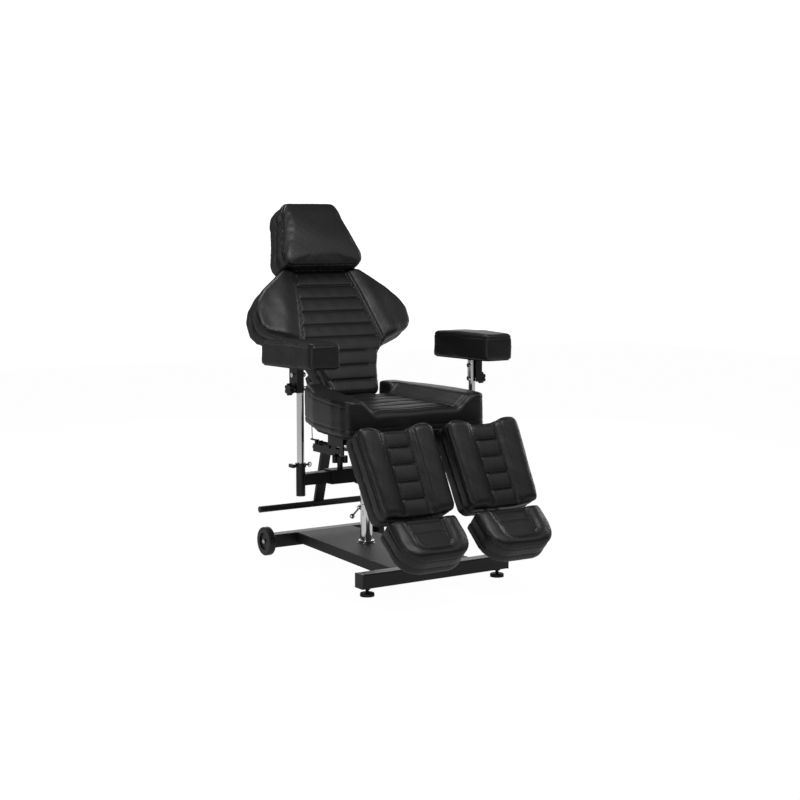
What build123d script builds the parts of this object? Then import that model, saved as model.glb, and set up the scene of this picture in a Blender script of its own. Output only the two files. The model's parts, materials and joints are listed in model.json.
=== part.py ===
from build123d import *
import math
import os

# Every piece is saved moved by this much, so that the middle of the whole lies over the origin
centre_shift_y = -18.0

# Base. The chair faces -Y, +Z is up and the sitter's left is +X.
bar_size = 50.0
bar_wall = 3.0
bar_mid_z = 54.0
bar_corner = 4.0
front_bar_y = -301.0
front_bar_half = 300.0
rear_bar_y = 467.0
rear_bar_half = 225.0
cap_thickness = 4.0
cap_plug_depth = 18.0
tray_front_half = 163.0
tray_rear_half = 121.0
tray_wall = 4.0
tray_low_z = 41.0
seam_gap = 0.3
run_gap = 0.05
overrun = 5.0
foot_x = 271.0
foot_disc_radius = 24.5
foot_disc_height = 12.0
foot_stem_radius = 6.0
foot_nut_radius = 11.0
foot_nut_height = 6.0
foot_edge = 4.0

# Wheels
wheel_radius = 54.0
wheel_width = 27.0
wheel_x = 241.5
wheel_rim_radius = 41.0
wheel_dish_depth = 6.0
wheel_dish_radius = 32.0
tyre_edge = 5.0
axle_radius = 5.5
axle_head_radius = 8.5
axle_head_width = 7.0

# Column and pump
column_y = 140.0
column_radius = 22.0
column_bottom_z = 44.0
gland_radius = 27.0
gland_height = 22.0
flange_radius = 30.0
flange_height = 8.0
sleeve_radius = 32.0
sleeve_bottom_z = 42.0
lift_rod_radius = 17.0
lift_rod_bottom_z = 92.0
housing_radius = 45.0
housing_bottom_z = 300.0
housing_top_z = 465.0
housing_edge = 6.0
lever_z = 212.0
lever_collar_radius = 28.0
lever_collar_height = 20.0
lever_boss_radius = 7.0
lever_boss_length = 9.0
lever_rod_radius = 3.5
lever_ball_radius = 9.0
lever_ball_length = 16.0
lever_ball_round = 6.0
lever_ball_drop = 30.0
lever_ball_out = 61.0

# Pedal
pedal_pivot_y = 206.0
pedal_pivot_z = 415.0
pedal_pin_radius = 6.0
pedal_pin_half = 30.0
pedal_lug_inner = 21.0
pedal_lug_outer = 29.0
pedal_lug_radius = 14.0
pedal_eye_radius = 16.0
pedal_arm_half = 20.0
pedal_arm_thickness = 12.0
pedal_bend_y = 428.0
pedal_bend_z = 398.0
pedal_bar_y = 494.0
pedal_bar_z = 172.0
pedal_bar_radius = 12.0
pedal_bar_half = 250.0
pedal_cap_half = 256.0

# Seat frame
rail_inner = 165.0
rail_outer = 195.0
rail_low_z = 473.0
rail_top_z = 513.0
rail_front_y = -196.0
rail_rear_y = 60.0
spine_inner = 68.0
spine_outer = 100.0
spine_rear_y = 246.0
cross_front_y = -180.0
cross_mid_y = -20.0
cross_rear_y = 20.0
cross_depth = 36.0
pump_plate_front_y = 60.0
pump_plate_rear_y = 220.0
pump_plate_thickness = 8.0
hanger_x = 120.0
hanger_thickness = 10.0
side_plate_x = 210.0
side_plate_thickness = 6.0
side_plate_front_y = -49.0
side_plate_rear_y = 54.0
side_plate_low_z = 441.0
side_slot_y = -18.0
side_slot_z = 462.0
side_slot_half = 14.0
side_slot_radius = 5.0

# Hinges of the calf rests and of the back
calf_hinge_y = -235.0
calf_hinge_z = 496.0
hinge_pin_radius = 7.0
hinge_pin_half = 27.0
hinge_eye_radius = 12.5
calf_hinge_x = 180.0
eye_half = 8.0
fork_inner = 11.0
fork_outer = 19.0
back_hinge_y = 264.0
back_hinge_z = 545.0
back_hinge_x = 80.0
back_eye_radius = 20.0

# Recline lock
lock_x = -200.0
lock_rail_half = 12.0
lock_rail_low_z = 430.0
lock_rail_top_z = 457.5
lock_rail_front_y = 16.0
lock_rail_rear_y = 170.0
lock_rod_z = 444.0
lock_rod_radius = 6.5
lock_rod_front_y = 80.0
lock_rod_rear_y = 176.0
spring_front_y = 62.0
spring_rear_y = 124.0
spring_radius = 7.0
spring_wire_radius = 1.3
spring_pitch = 5.5
spring_axis_z = 465.5
spring_pin_radius = 3.4
spring_post_length = 6.0
spring_post_half = 8.0
lock_lever_y = 152.0
lock_lever_z = 468.0
lock_lever_boss = 6.0
lock_lever_reach = 44.0
lock_lever_rise = 6.0
lock_lever_thickness = 5.0
lock_lug_half = 7.0
lock_bolt_radius = 6.0
lock_bolt_length = 5.0
lock_bolt_y = 44.0
lock_bolt_z = 460.0
handle_x = -110.0
handle_v = -113.0
handle_radius = 14.0

# Arm carriers
arm_y = -16.0
arm_z = 366.0
arm_outer_size = 50.0
arm_inner_size = 40.0
arm_inner_wall = 3.0
arm_cross_half = 254.0
arm_tube_inner_x = 160.0
post_x = 363.0
post_radius = 12.5
socket_radius = 16.0
socket_low_z = 308.0
socket_top_z = 408.0
collar_radius = 19.0
collar_height = 14.0
wing_screw_radius = 4.0
wing_screw_reach = 20.0
wing_half = 15.0
wing_height = 12.0
ring_pin_radius = 3.5
ring_outer = 9.0
ring_wire = 2.0
ring_reach = 16.0
knob_x = 205.0
knob_radius = 30.0
knob_lobe_radius = 9.5
knob_height = 22.0
knob_low_z = 412.0
knob_stem_radius = 5.0
post_low_z = 316.0
post_top_z = 747.0
post_hole_radius = 3.0
post_hole_depth = 4.0
post_hole_first_z = 440.0
post_hole_pitch = 30.0
post_hole_count_share = 8
pivot_z = 728.0
clamp_z = 680.0
bolt_radius = 4.0
bolt_head_radius = 8.0
bolt_head_height = 6.0
bracket_half = 27.0
bracket_wall = 3.0
bracket_reach = 27.0
bracket_low_z = 668.0
bracket_top_z = 754.0
bracket_inboard = 30.0
clamp_knob_radius = 21.0
clamp_knob_lobe = 7.0
clamp_knob_height = 16.0
clamp_knob_stem = 10.0
slot_degrees = 11.0
arm_pad_half_length = 164.0
arm_pad_half_width = 61.0
arm_pad_low_z = 754.0
arm_pad_top_z = 850.0
arm_pad_corner = 18.0
arm_pad_crown_radius = 2600.0
arm_pad_edge = 13.0
arm_pad_left_degrees = 2.5
arm_pad_right_degrees = 3.5
arm_pad_board = 8.0

# Seat cushions
board_low_z = 513.0
board_top_z = 524.0
board_inset = 20.0
seat_front_y = -205.0
seat_centre_rear_y = 164.0
seat_rear_y = 250.0
seat_half_front = 296.0
seat_half_mid = 291.0
seat_half_waist = 262.0
seat_half_rear = 196.0
seat_mid_y = -100.0
seat_waist_y = 72.0
seat_corner = 38.0
seat_centre_half_front = 196.0
seat_centre_half_rear = 122.0
seat_centre_front_z = 606.0
seat_centre_rear_z = 628.0
bolster_front_z = 645.0
bolster_rear_z = 665.0
seat_edge = 12.0
seat_groove_first_y = -150.0
seat_groove_pitch = 62.0
seat_groove_count_share = 5
groove_width = 3.0
groove_depth = 5.0

# Back, measured on the front plane: v runs up along it and w stands out of it
back_origin_y = 305.0
back_origin_z = 827.0
back_tilt_degrees = 30.6
back_front_layer = 50.0
back_total = 106.0
back_bottom_v = -225.0
back_bottom_half = 100.0
back_waist_v = -126.0
back_waist_half = 121.0
back_flare_v = -63.0
back_flare_half = 140.0
back_wing_low_v = -12.0
back_wing_low_half = 186.0
back_wing_v = 34.0
back_wing_half = 300.0
back_tip_low_v = 62.0
back_tip_high_v = 118.0
back_tip_half = 322.0
back_shoulder_v = 165.0
back_shoulder_half = 303.0
back_upper_v = 218.0
back_upper_half = 262.0
back_top_v = 298.0
back_top_half = 160.0
back_corner = 20.0
back_edge = 12.0
back_crown_radius = 2300.0
back_groove_low_v = -170.0
back_groove_pitch = 56.5
back_groove_count_share = 8
back_groove_end = 96.0
frame_bar_inner = 65.0
frame_bar_outer = 95.0
frame_bar_depth = 30.0
frame_bar_top_v = 200.0
guide_low_v = 150.0
frame_cross_v = -60.0
frame_cross_height = 30.0

# Headrest
head_rod_x = 40.0
head_rod_radius = 6.0
head_rod_low_v = 60.0
head_rod_w = 121.3
head_hinge_v = 318.0
head_pin_radius = 5.0
head_eye_radius = 10.0
head_block_half = 8.0
head_origin_y = 440.0
head_origin_z = 1142.0
head_tilt_degrees = 27.9
head_front_layer = 55.0
head_total = 128.0
head_low_v = -42.0
head_low_half = 160.0
head_wide_v = 4.0
head_wide_half = 165.0
head_upper_v = 158.0
head_upper_half = 121.0
head_top_v = 214.0
head_top_half = 80.0
head_corner = 30.0
head_edge = 13.0
head_crown_radius = 1500.0
carrier_inner = 13.0
carrier_outer = 19.0
carrier_plate_half = 60.0
carrier_plate_low_v = -30.0
carrier_plate_top_v = 60.0
carrier_plate_thickness = 4.0

# Leg rests: each cushion lies on a plane whose v runs up along it
calf_origin_y = -343.0
calf_origin_z = 562.0
calf_tilt_degrees = 29.2
calf_total = 105.0
calf_top_v = 15.0
calf_bottom_v = -300.0
calf_top_inner = 36.0
calf_top_outer = 324.0
calf_bottom_inner = 40.0
calf_bottom_outer = 311.0
calf_corner = 30.0
calf_edge = 14.0
calf_panel_inner = 127.0
calf_panel_outer = 243.0
calf_panel_depth = 16.0
calf_panel_low_v = -278.0
calf_groove_first_v = -59.0
calf_groove_pitch = 61.0
calf_groove_count_share = 4
leg_plate_inner = 120.0
leg_plate_outer = 240.0
leg_plate_thickness = 5.0
leg_plate_top_v = 2.0
leg_plate_bottom_v = -292.0
foot_origin_y = -491.0
foot_origin_z = 290.0
foot_tilt_degrees = 48.7
foot_pad_total = 92.0
foot_pad_top_v = 0.0
foot_pad_bottom_v = -166.0
foot_pad_inner = 40.0
foot_pad_outer = 310.0
foot_pad_low_corner = 85.0
foot_pad_edge = 14.0
foot_pad_inset = 60.0
foot_pad_inset_low_v = -112.0
foot_pad_inset_depth = 10.0
foot_groove_v = -56.0
foot_hinge_y = -406.0
foot_hinge_z = 226.0
foot_hinge_radius = 9.0
foot_pin_radius = 5.0
foot_ear_half = 5.0
foot_fork_inner = 24.0
foot_fork_outer = 29.0


def span(x, y, z):
    size = Box(x[1] - x[0], y[1] - y[0], z[1] - z[0])
    return Pos((x[0] + x[1]) / 2, (y[0] + y[1]) / 2, (z[0] + z[1]) / 2) * size


def round_z(radius, x, y, low, top):
    return Pos(x, y, (low + top) / 2) * Cylinder(radius, top - low)


def round_x(radius, y, z, low, top):
    return Pos((low + top) / 2, y, z) * Rot(0, 90, 0) * Cylinder(radius, top - low)


def round_y(radius, x, z, low, top):
    return Pos(x, (low + top) / 2, z) * Rot(90, 0, 0) * Cylinder(radius, top - low)


def flip(shape):
    return mirror(shape, about=Plane.YZ)


def centred(shape):
    return Pos(0, centre_shift_y, 0) * shape


def save(shape, name):
    export_step(centred(shape), "parts/" + name + ".step")


def save_group(shapes, name):
    group = Compound(children=[centred(shape) for shape in shapes])
    export_step(group, "parts/" + name + ".step")


def polygon(points):
    return make_face(Polyline(*points, close=True))


# A plane whose local x is X, local y runs up along a leaning cushion and local z stands out in front
def lean(y, z, degrees):
    angle = math.radians(degrees)
    return Plane(origin=(0, y, z), x_dir=(1, 0, 0), z_dir=(0, -math.cos(angle), math.sin(angle)))


def lean_point(plane, v, w):
    return plane.from_local_coords(Vector(0, v, w))


def bar_tube(half, y):
    low = bar_mid_z - bar_size / 2
    top = bar_mid_z + bar_size / 2
    outer = span((-half, half), (y - bar_size / 2, y + bar_size / 2), (low, top))
    outer = fillet(outer.edges().filter_by(Axis.X), bar_corner)
    inner_half = bar_size / 2 - bar_wall
    bore = span((-half, half), (y - inner_half, y + inner_half), (low + bar_wall, top - bar_wall))
    return outer - bore


def bar_cap(x, y, side):
    inner_half = bar_size / 2 - bar_wall
    plate_x = sorted((x, x + side * cap_thickness))
    plug_x = sorted((x - side * cap_plug_depth, x))
    z = (bar_mid_z - bar_size / 2, bar_mid_z + bar_size / 2)
    plate = span(plate_x, (y - bar_size / 2, y + bar_size / 2), z)
    plug_z = (bar_mid_z - inner_half, bar_mid_z + inner_half)
    return plate + span(plug_x, (y - inner_half, y + inner_half), plug_z)


def foot_stem_hole(x, radius):
    low = bar_mid_z - bar_size / 2 - overrun
    return round_z(radius, x, front_bar_y, low, bar_mid_z)


def build_base():
    front = bar_tube(front_bar_half, front_bar_y)
    for x in (-foot_x, foot_x):
        front -= foot_stem_hole(x, foot_stem_radius + run_gap)
    save(front, "front_crossbar")
    save(bar_tube(rear_bar_half, rear_bar_y), "rear_crossbar")
    caps = [bar_cap(front_bar_half, front_bar_y, 1), bar_cap(-front_bar_half, front_bar_y, -1)]
    save_group(caps, "crossbar_end_caps")
    save(tray(), "base_tray")
    for side, name in ((1, "left"), (-1, "right")):
        save(levelling_foot(side * foot_x), "levelling_foot_" + name)


def tray():
    front_y = front_bar_y + bar_size / 2
    rear_y = rear_bar_y - bar_size / 2
    low = tray_low_z
    top = bar_mid_z + bar_size / 2
    outer = polygon([(-tray_front_half, front_y), (tray_front_half, front_y),
                     (tray_rear_half, rear_y), (-tray_rear_half, rear_y)])
    inner = polygon([(-tray_front_half + tray_wall, front_y), (tray_front_half - tray_wall, front_y),
                     (tray_rear_half - tray_wall, rear_y), (-tray_rear_half + tray_wall, rear_y)])
    shell = Pos(0, 0, low) * extrude(outer, top - low)
    shell -= Pos(0, 0, low) * extrude(inner, top - low - tray_wall)
    return shell - round_z(sleeve_radius, 0, column_y, low, top + overrun)


def levelling_foot(x):
    low = bar_mid_z - bar_size / 2
    disc = round_z(foot_disc_radius, x, front_bar_y, 0, foot_disc_height)
    disc = fillet(disc.edges().group_by(Axis.Z)[-1], foot_edge)
    nut = round_z(foot_nut_radius, x, front_bar_y, low - seam_gap - foot_nut_height, low - seam_gap)
    stem = round_z(foot_stem_radius, x, front_bar_y, foot_edge, low + bar_size / 2 - seam_gap)
    return disc + nut + stem


def build_wheels():
    axles = []
    for side, name in ((1, "left"), (-1, "right")):
        near = wheel_x - wheel_width / 2
        far = wheel_x + wheel_width / 2
        tyre = round_x(wheel_radius, rear_bar_y, wheel_radius, near, far)
        tyre = fillet(tyre.edges(), tyre_edge)
        tyre -= round_x(wheel_rim_radius, rear_bar_y, wheel_radius, near - overrun, far + overrun)
        hub = round_x(wheel_rim_radius, rear_bar_y, wheel_radius, near, far)
        dish = round_x(wheel_dish_radius, rear_bar_y, wheel_radius, far - wheel_dish_depth,
                       far + overrun)
        bore = round_x(axle_radius + run_gap, rear_bar_y, wheel_radius, near - overrun, far + overrun)
        hub = hub - dish - bore
        face = far - wheel_dish_depth + seam_gap
        head = round_x(axle_head_radius, rear_bar_y, wheel_radius, face, face + axle_head_width)
        head = chamfer(head.edges().group_by(Axis.X)[-1], wheel_dish_depth / 4)
        inner_half = bar_size / 2 - bar_wall
        block = span((rear_bar_half - cap_plug_depth, rear_bar_half),
                     (rear_bar_y - inner_half, rear_bar_y + inner_half),
                     (bar_mid_z - inner_half, bar_mid_z + inner_half))
        shaft = round_x(axle_radius, rear_bar_y, wheel_radius, rear_bar_half - cap_plug_depth, face)
        axle = block + shaft + head
        wheel = tyre + hub
        save(wheel if side > 0 else flip(wheel), "wheel_" + name)
        axles.append(axle if side > 0 else flip(axle))
    save_group(axles, "wheel_axles")


def build_column():
    tray_top = bar_mid_z + bar_size / 2
    flange = round_z(flange_radius, 0, column_y, tray_top, tray_top + flange_height)
    flange += round_z(sleeve_radius, 0, column_y, sleeve_bottom_z, tray_top)
    flange -= round_z(column_radius + run_gap, 0, column_y, column_bottom_z - seam_gap,
                      tray_top + flange_height + overrun)
    save(flange, "column_flange")
    gland_top = housing_bottom_z - seam_gap
    tube = round_z(column_radius, 0, column_y, column_bottom_z, gland_top)
    tube += round_z(gland_radius, 0, column_y, gland_top - gland_height, gland_top)
    tube += round_z(lever_collar_radius, 0, column_y, lever_z - lever_collar_height / 2,
                    lever_z + lever_collar_height / 2)
    tube -= round_z(lift_rod_radius + run_gap, 0, column_y, lift_rod_bottom_z - overrun,
                    gland_top + overrun)
    boss_low = -lever_collar_radius - lever_boss_length
    pin_low = -lever_collar_radius
    tube += round_x(lever_rod_radius, column_y, lever_z, boss_low, pin_low + lever_rod_radius)
    save(tube, "column_tube")
    save(swivel_lever(boss_low, pin_low), "swivel_lever")
    save(round_z(lift_rod_radius, 0, column_y, lift_rod_bottom_z, housing_bottom_z), "lift_rod")


def swivel_lever(boss_low, pin_low):
    boss = round_x(lever_boss_radius, column_y, lever_z, boss_low, pin_low - seam_gap)
    start_z = lever_z - lever_boss_radius + lever_ball_round / 4
    start = Vector(boss_low + lever_rod_radius, column_y, start_z)
    end = Vector(-lever_ball_out, column_y, lever_z - lever_ball_drop)
    way = end - start
    place = Plane(origin=start, x_dir=(0, 1, 0), z_dir=way)
    rod = place * Pos(0, 0, way.length / 2) * Cylinder(lever_rod_radius, way.length)
    ball = Pos(0, 0, way.length) * Cylinder(lever_ball_radius, lever_ball_length)
    ball = place * fillet(ball.edges().filter_by(GeomType.CIRCLE), lever_ball_round)
    bore = round_x(lever_rod_radius + run_gap, column_y, lever_z, boss_low - overrun, pin_low)
    return boss + rod + ball - bore


def build_pump():
    housing = round_z(housing_radius, 0, column_y, housing_bottom_z, housing_top_z)
    housing = fillet(housing.edges().group_by(Axis.Z)[0], housing_edge)
    for side in (-1, 1):
        x = sorted((side * pedal_lug_inner, side * pedal_lug_outer))
        web = span(x, (column_y, pedal_pivot_y),
                   (pedal_pivot_z - pedal_lug_radius, pedal_pivot_z + pedal_lug_radius))
        housing += web + round_x(pedal_lug_radius, pedal_pivot_y, pedal_pivot_z, *x)
    pin = round_x(pedal_pin_radius, pedal_pivot_y, pedal_pivot_z, -pedal_pin_half, pedal_pin_half)
    save(housing + pin, "pump_housing")
    save(pedal_arm(), "pedal_arm")
    caps = []
    for side in (-1, 1):
        x = sorted((side * pedal_bar_half, side * pedal_cap_half))
        caps.append(round_x(pedal_bar_radius, pedal_bar_y, pedal_bar_z, *x))
    save_group(caps, "pedal_end_caps")


def pedal_arm():
    t = pedal_arm_thickness / 2
    points = [(pedal_pivot_y, pedal_pivot_z - t), (pedal_bend_y - t, pedal_bend_z - t),
              (pedal_bar_y - t, pedal_bar_z), (pedal_bar_y + t, pedal_bar_z),
              (pedal_bend_y + t, pedal_bend_z + t), (pedal_pivot_y, pedal_pivot_z + t)]
    outline = polygon(points)
    arm = extrude(Plane.YZ * outline, pedal_arm_half, both=True)
    eye = round_x(pedal_eye_radius, pedal_pivot_y, pedal_pivot_z, -pedal_arm_half, pedal_arm_half)
    bar = round_x(pedal_bar_radius, pedal_bar_y, pedal_bar_z, -pedal_bar_half, pedal_bar_half)
    bore = round_x(pedal_pin_radius + run_gap, pedal_pivot_y, pedal_pivot_z,
                   -pedal_pin_half, pedal_pin_half)
    return arm + eye + bar - bore


# A plate round a pin that reaches from it to a block, all of one thickness
def eye_plate(x, pivot, radius, target_y, target_z):
    plate = round_x(radius, pivot[0], pivot[1], *x)
    y = sorted((pivot[0], target_y))
    plate += span(x, y, target_z)
    return plate


def seat_frame():
    rail_z = (rail_low_z, rail_top_z)
    parts = []
    for side in (-1, 1):
        rail = sorted((side * rail_inner, side * rail_outer))
        spine = sorted((side * spine_inner, side * spine_outer))
        parts.append(span(rail, (rail_front_y, rail_rear_y), rail_z))
        parts.append(span(spine, (cross_mid_y, spine_rear_y), rail_z))
        eye = sorted((side * (calf_hinge_x - eye_half), side * (calf_hinge_x + eye_half)))
        eye_z = (calf_hinge_z - hinge_eye_radius, calf_hinge_z + hinge_eye_radius)
        parts.append(eye_plate(eye, (calf_hinge_y, calf_hinge_z), hinge_eye_radius, rail_front_y, eye_z))
        hanger = sorted((side * (hanger_x - hanger_thickness / 2),
                         side * (hanger_x + hanger_thickness / 2)))
        tube_top = arm_z + arm_outer_size / 2
        parts.append(span(hanger, (arm_y - arm_outer_size / 2, arm_y + arm_outer_size / 2),
                          (tube_top, rail_top_z)))
        parts.append(side_plate(side))
        parts += back_lugs(side)
    for y in (cross_front_y, cross_mid_y, cross_rear_y):
        parts.append(span((-rail_outer, rail_outer), (y, y + cross_depth), rail_z))
    parts.append(span((-spine_outer, spine_outer), (spine_rear_y - cross_depth, spine_rear_y),
                      (rail_low_z, rail_top_z - pump_plate_thickness)))
    parts.append(span((-spine_outer, spine_outer), (pump_plate_front_y, pump_plate_rear_y),
                      (housing_top_z, housing_top_z + pump_plate_thickness)))
    frame = parts[0]
    for piece in parts[1:]:
        frame += piece
    return frame - hinge_bores()


def side_plate(side):
    x = sorted((side * rail_outer, side * (side_plate_x + side_plate_thickness / 2)))
    web = sorted((side * (side_plate_x - side_plate_thickness / 2),
                  side * (side_plate_x + side_plate_thickness / 2)))
    y = (side_plate_front_y, side_plate_rear_y)
    top = span(x, y, (rail_top_z - side_plate_thickness, rail_top_z))
    plate = span(web, y, (side_plate_low_z, rail_top_z))
    head_end = side_plate_x + lock_bolt_length + side_plate_thickness / 2
    head = sorted((side * side_plate_x, side * head_end))
    plate += round_x(lock_bolt_radius, lock_bolt_y, lock_bolt_z, *head)
    slot_x = sorted((side * rail_outer, side * (side_plate_x + overrun)))
    for shift in (-side_slot_half, side_slot_half):
        plate -= round_x(side_slot_radius, side_slot_y + shift, side_slot_z, *slot_x)
    return top + plate - span(slot_x, (side_slot_y - side_slot_half, side_slot_y + side_slot_half),
                              (side_slot_z - side_slot_radius, side_slot_z + side_slot_radius))


def back_lugs(side):
    lugs = []
    for shift in (-1, 1):
        near = back_hinge_x + shift * fork_inner
        far = back_hinge_x + shift * fork_outer
        x = sorted((side * near, side * far))
        lug = round_x(back_eye_radius, back_hinge_y, back_hinge_z, *x)
        lug += span(x, (back_hinge_y - back_eye_radius, back_hinge_y + back_eye_radius),
                    (rail_low_z, back_hinge_z))
        lug += span(x, (spine_rear_y - cross_depth, back_hinge_y), (rail_low_z, rail_top_z))
        lugs.append(lug)
    return lugs


def hinge_pins():
    pins = []
    for x in (-calf_hinge_x, calf_hinge_x):
        pins.append(round_x(hinge_pin_radius, calf_hinge_y, calf_hinge_z,
                            x - hinge_pin_half, x + hinge_pin_half))
    for x in (-back_hinge_x, back_hinge_x):
        pins.append(round_x(hinge_pin_radius, back_hinge_y, back_hinge_z,
                            x - hinge_pin_half, x + hinge_pin_half))
    return pins


def hinge_bores():
    pins = hinge_pins()
    return pins[0] + pins[1] + pins[2] + pins[3]


def build_seat_frame():
    save(seat_frame(), "seat_frame")
    save_group(hinge_pins(), "hinge_pins")


def build_lock():
    wide = (lock_x - lock_rail_half, lock_x + lock_rail_half)
    inner = side_plate_x - side_plate_thickness / 2
    body_x = (-inner, wide[1])
    rail = span(body_x, (lock_rail_front_y, lock_rail_rear_y), (lock_rail_low_z, lock_rail_top_z))
    rail -= round_y(lock_rod_radius + run_gap, lock_x, lock_rod_z, lock_rail_front_y - overrun,
                    lock_rail_rear_y + overrun)
    post_x_span = (lock_x - spring_post_half, lock_x + spring_post_half)
    top = spring_axis_z + spring_radius
    front = spring_front_y - seam_gap
    rear = spring_rear_y + seam_gap
    rail += span(post_x_span, (front - spring_post_length, front), (lock_rail_top_z, top))
    rail += span(post_x_span, (rear, rear + spring_post_length), (lock_rail_top_z, top))
    rail += round_y(spring_pin_radius, lock_x, spring_axis_z, front, rear)
    for shift in (-1, 1):
        lug_x = sorted((lock_x + shift * (lock_lever_thickness / 2 + seam_gap),
                        lock_x + shift * lock_lug_half))
        lug = round_x(lock_lever_boss, lock_lever_y, lock_lever_z, *lug_x)
        lug += span(lug_x, (lock_lever_y - lock_lever_boss, lock_lever_y + lock_lever_boss),
                    (lock_rail_top_z, lock_lever_z))
        rail += lug
    pin = round_x(lever_rod_radius, lock_lever_y, lock_lever_z, lock_x - lock_lug_half,
                  lock_x + lock_lug_half)
    rail += pin
    save(rail, "lock_rail")
    rod = round_y(lock_rod_radius, lock_x, lock_rod_z, lock_rod_front_y, lock_rod_rear_y)
    save(rod, "lock_rod")
    save(lock_lever(), "lock_lever")
    save(spring(), "lock_spring")


def lock_lever():
    x = (lock_x - lock_lever_thickness / 2, lock_x + lock_lever_thickness / 2)
    lever = round_x(lock_lever_boss, lock_lever_y, lock_lever_z, *x)
    lever += span(x, (lock_lever_y, lock_lever_y + lock_lever_reach),
                  (lock_lever_z, lock_lever_z + lock_lever_rise))
    return lever - round_x(lever_rod_radius + run_gap, lock_lever_y, lock_lever_z,
                           x[0] - overrun, x[1] + overrun)


# The wire of the spring: one smooth spline through quarter turns, swept as one unbroken tube
def spring():
    length = spring_rear_y - spring_front_y - 2 * (spring_wire_radius + seam_gap)
    quarters = 4 * round(length / spring_pitch)
    points = []
    for i in range(quarters + 1):
        angle = i * math.pi / 2
        y = spring_front_y + spring_wire_radius + seam_gap + length * i / quarters
        reach = spring_radius - spring_wire_radius
        points.append((lock_x + reach * math.cos(angle), y, spring_axis_z + reach * math.sin(angle)))
    path = Spline(*points)
    return sweep(Plane(origin=path @ 0, z_dir=path % 0) * Circle(spring_wire_radius), path=path)


def star(radius, lobe, height):
    body = Cylinder(radius - lobe, height)
    for i in range(6):
        angle = i * math.pi / 3
        reach = radius - lobe
        body += Pos(reach * math.cos(angle), reach * math.sin(angle), 0) * Cylinder(lobe, height)
    return body


def arm_tube(x_far, half, wall, x_near):
    outer = span((x_near, x_far), (arm_y - half, arm_y + half), (arm_z - half, arm_z + half))
    inner = half - wall
    return outer - span((x_near, x_far), (arm_y - inner, arm_y + inner), (arm_z - inner, arm_z + inner))


def arm_cross_tube():
    half = arm_outer_size / 2
    bore = arm_inner_size / 2 + run_gap
    tube = arm_tube(arm_cross_half, half, half - bore, -arm_cross_half)
    for x in (-knob_x, knob_x):
        tube -= round_z(knob_stem_radius + run_gap, x, arm_y, arm_z, arm_z + half + overrun)
    return tube


def socket_tube():
    half = arm_inner_size / 2
    tube = arm_tube(post_x, half, arm_inner_wall, arm_tube_inner_x)
    tube -= round_z(socket_radius, post_x, arm_y, arm_z - half, arm_z + half)
    socket = round_z(socket_radius, post_x, arm_y, socket_low_z, socket_top_z)
    bore = round_z(post_radius + run_gap, post_x, arm_y, socket_low_z - overrun, socket_top_z + overrun)
    return tube + socket - bore


def collar():
    low = socket_top_z + seam_gap
    top = low + collar_height
    mid = (low + top) / 2
    ring = round_z(collar_radius, post_x, arm_y, low, top)
    outer = post_x + collar_radius
    ring += round_x(wing_screw_radius, arm_y, mid, post_x + post_radius + run_gap * 2,
                    outer + wing_screw_reach)
    wing_x = (outer + wing_screw_reach / 2, outer + wing_screw_reach)
    ring += span(wing_x, (arm_y - wing_half, arm_y + wing_half),
                 (mid - wing_height / 2, mid + wing_height / 2))
    bore = round_z(post_radius + run_gap, post_x, arm_y, low - overrun, top + overrun)
    pin_hole = round_x(ring_pin_radius + run_gap, arm_y, mid, post_x - collar_radius - overrun, post_x)
    return ring - bore - pin_hole


def ring_pin():
    mid = socket_top_z + seam_gap + collar_height / 2
    inner = post_x - post_radius - run_gap * 2
    outer = post_x - collar_radius - ring_reach
    pin = round_x(ring_pin_radius, arm_y, mid, outer, inner)
    ring = Pos(outer, arm_y, mid) * Rot(90, 0, 0) * Torus(ring_outer - ring_wire, ring_wire)
    return pin + ring


def post():
    pole = round_z(post_radius, post_x, arm_y, post_low_z, post_top_z)
    for i in range(post_hole_count_share):
        z = post_hole_first_z + i * post_hole_pitch
        pole -= round_x(post_hole_radius, arm_y, z, post_x - post_radius - overrun,
                        post_x - post_radius + post_hole_depth)
    web = post_x + bracket_reach
    for z in (pivot_z, clamp_z):
        pole += round_x(bolt_radius, arm_y, z, post_x - post_radius - bolt_head_height,
                        web + bolt_head_height + seam_gap)
        pole += round_x(bolt_head_radius, arm_y, z, post_x - post_radius - bolt_head_height,
                        post_x - post_radius + bolt_radius)
    pole += round_x(bolt_head_radius, arm_y, pivot_z, web + seam_gap, web + bolt_head_height + seam_gap)
    pole += round_x(bolt_radius, arm_y, clamp_z, web, web + clamp_knob_height)
    return pole


def clamp_knob():
    web = post_x + bracket_reach + seam_gap
    stem = round_x(clamp_knob_stem, arm_y, clamp_z, web, web + bolt_head_height)
    low = web + bolt_head_height
    head = Pos(low + clamp_knob_height / 2, arm_y, clamp_z) * Rot(0, 90, 0)
    knob = stem + head * star(clamp_knob_radius, clamp_knob_lobe, clamp_knob_height)
    bore = round_x(bolt_radius + run_gap, arm_y, clamp_z, web - overrun, post_x + bracket_reach
                   + clamp_knob_height + seam_gap)
    return knob - bore


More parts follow.
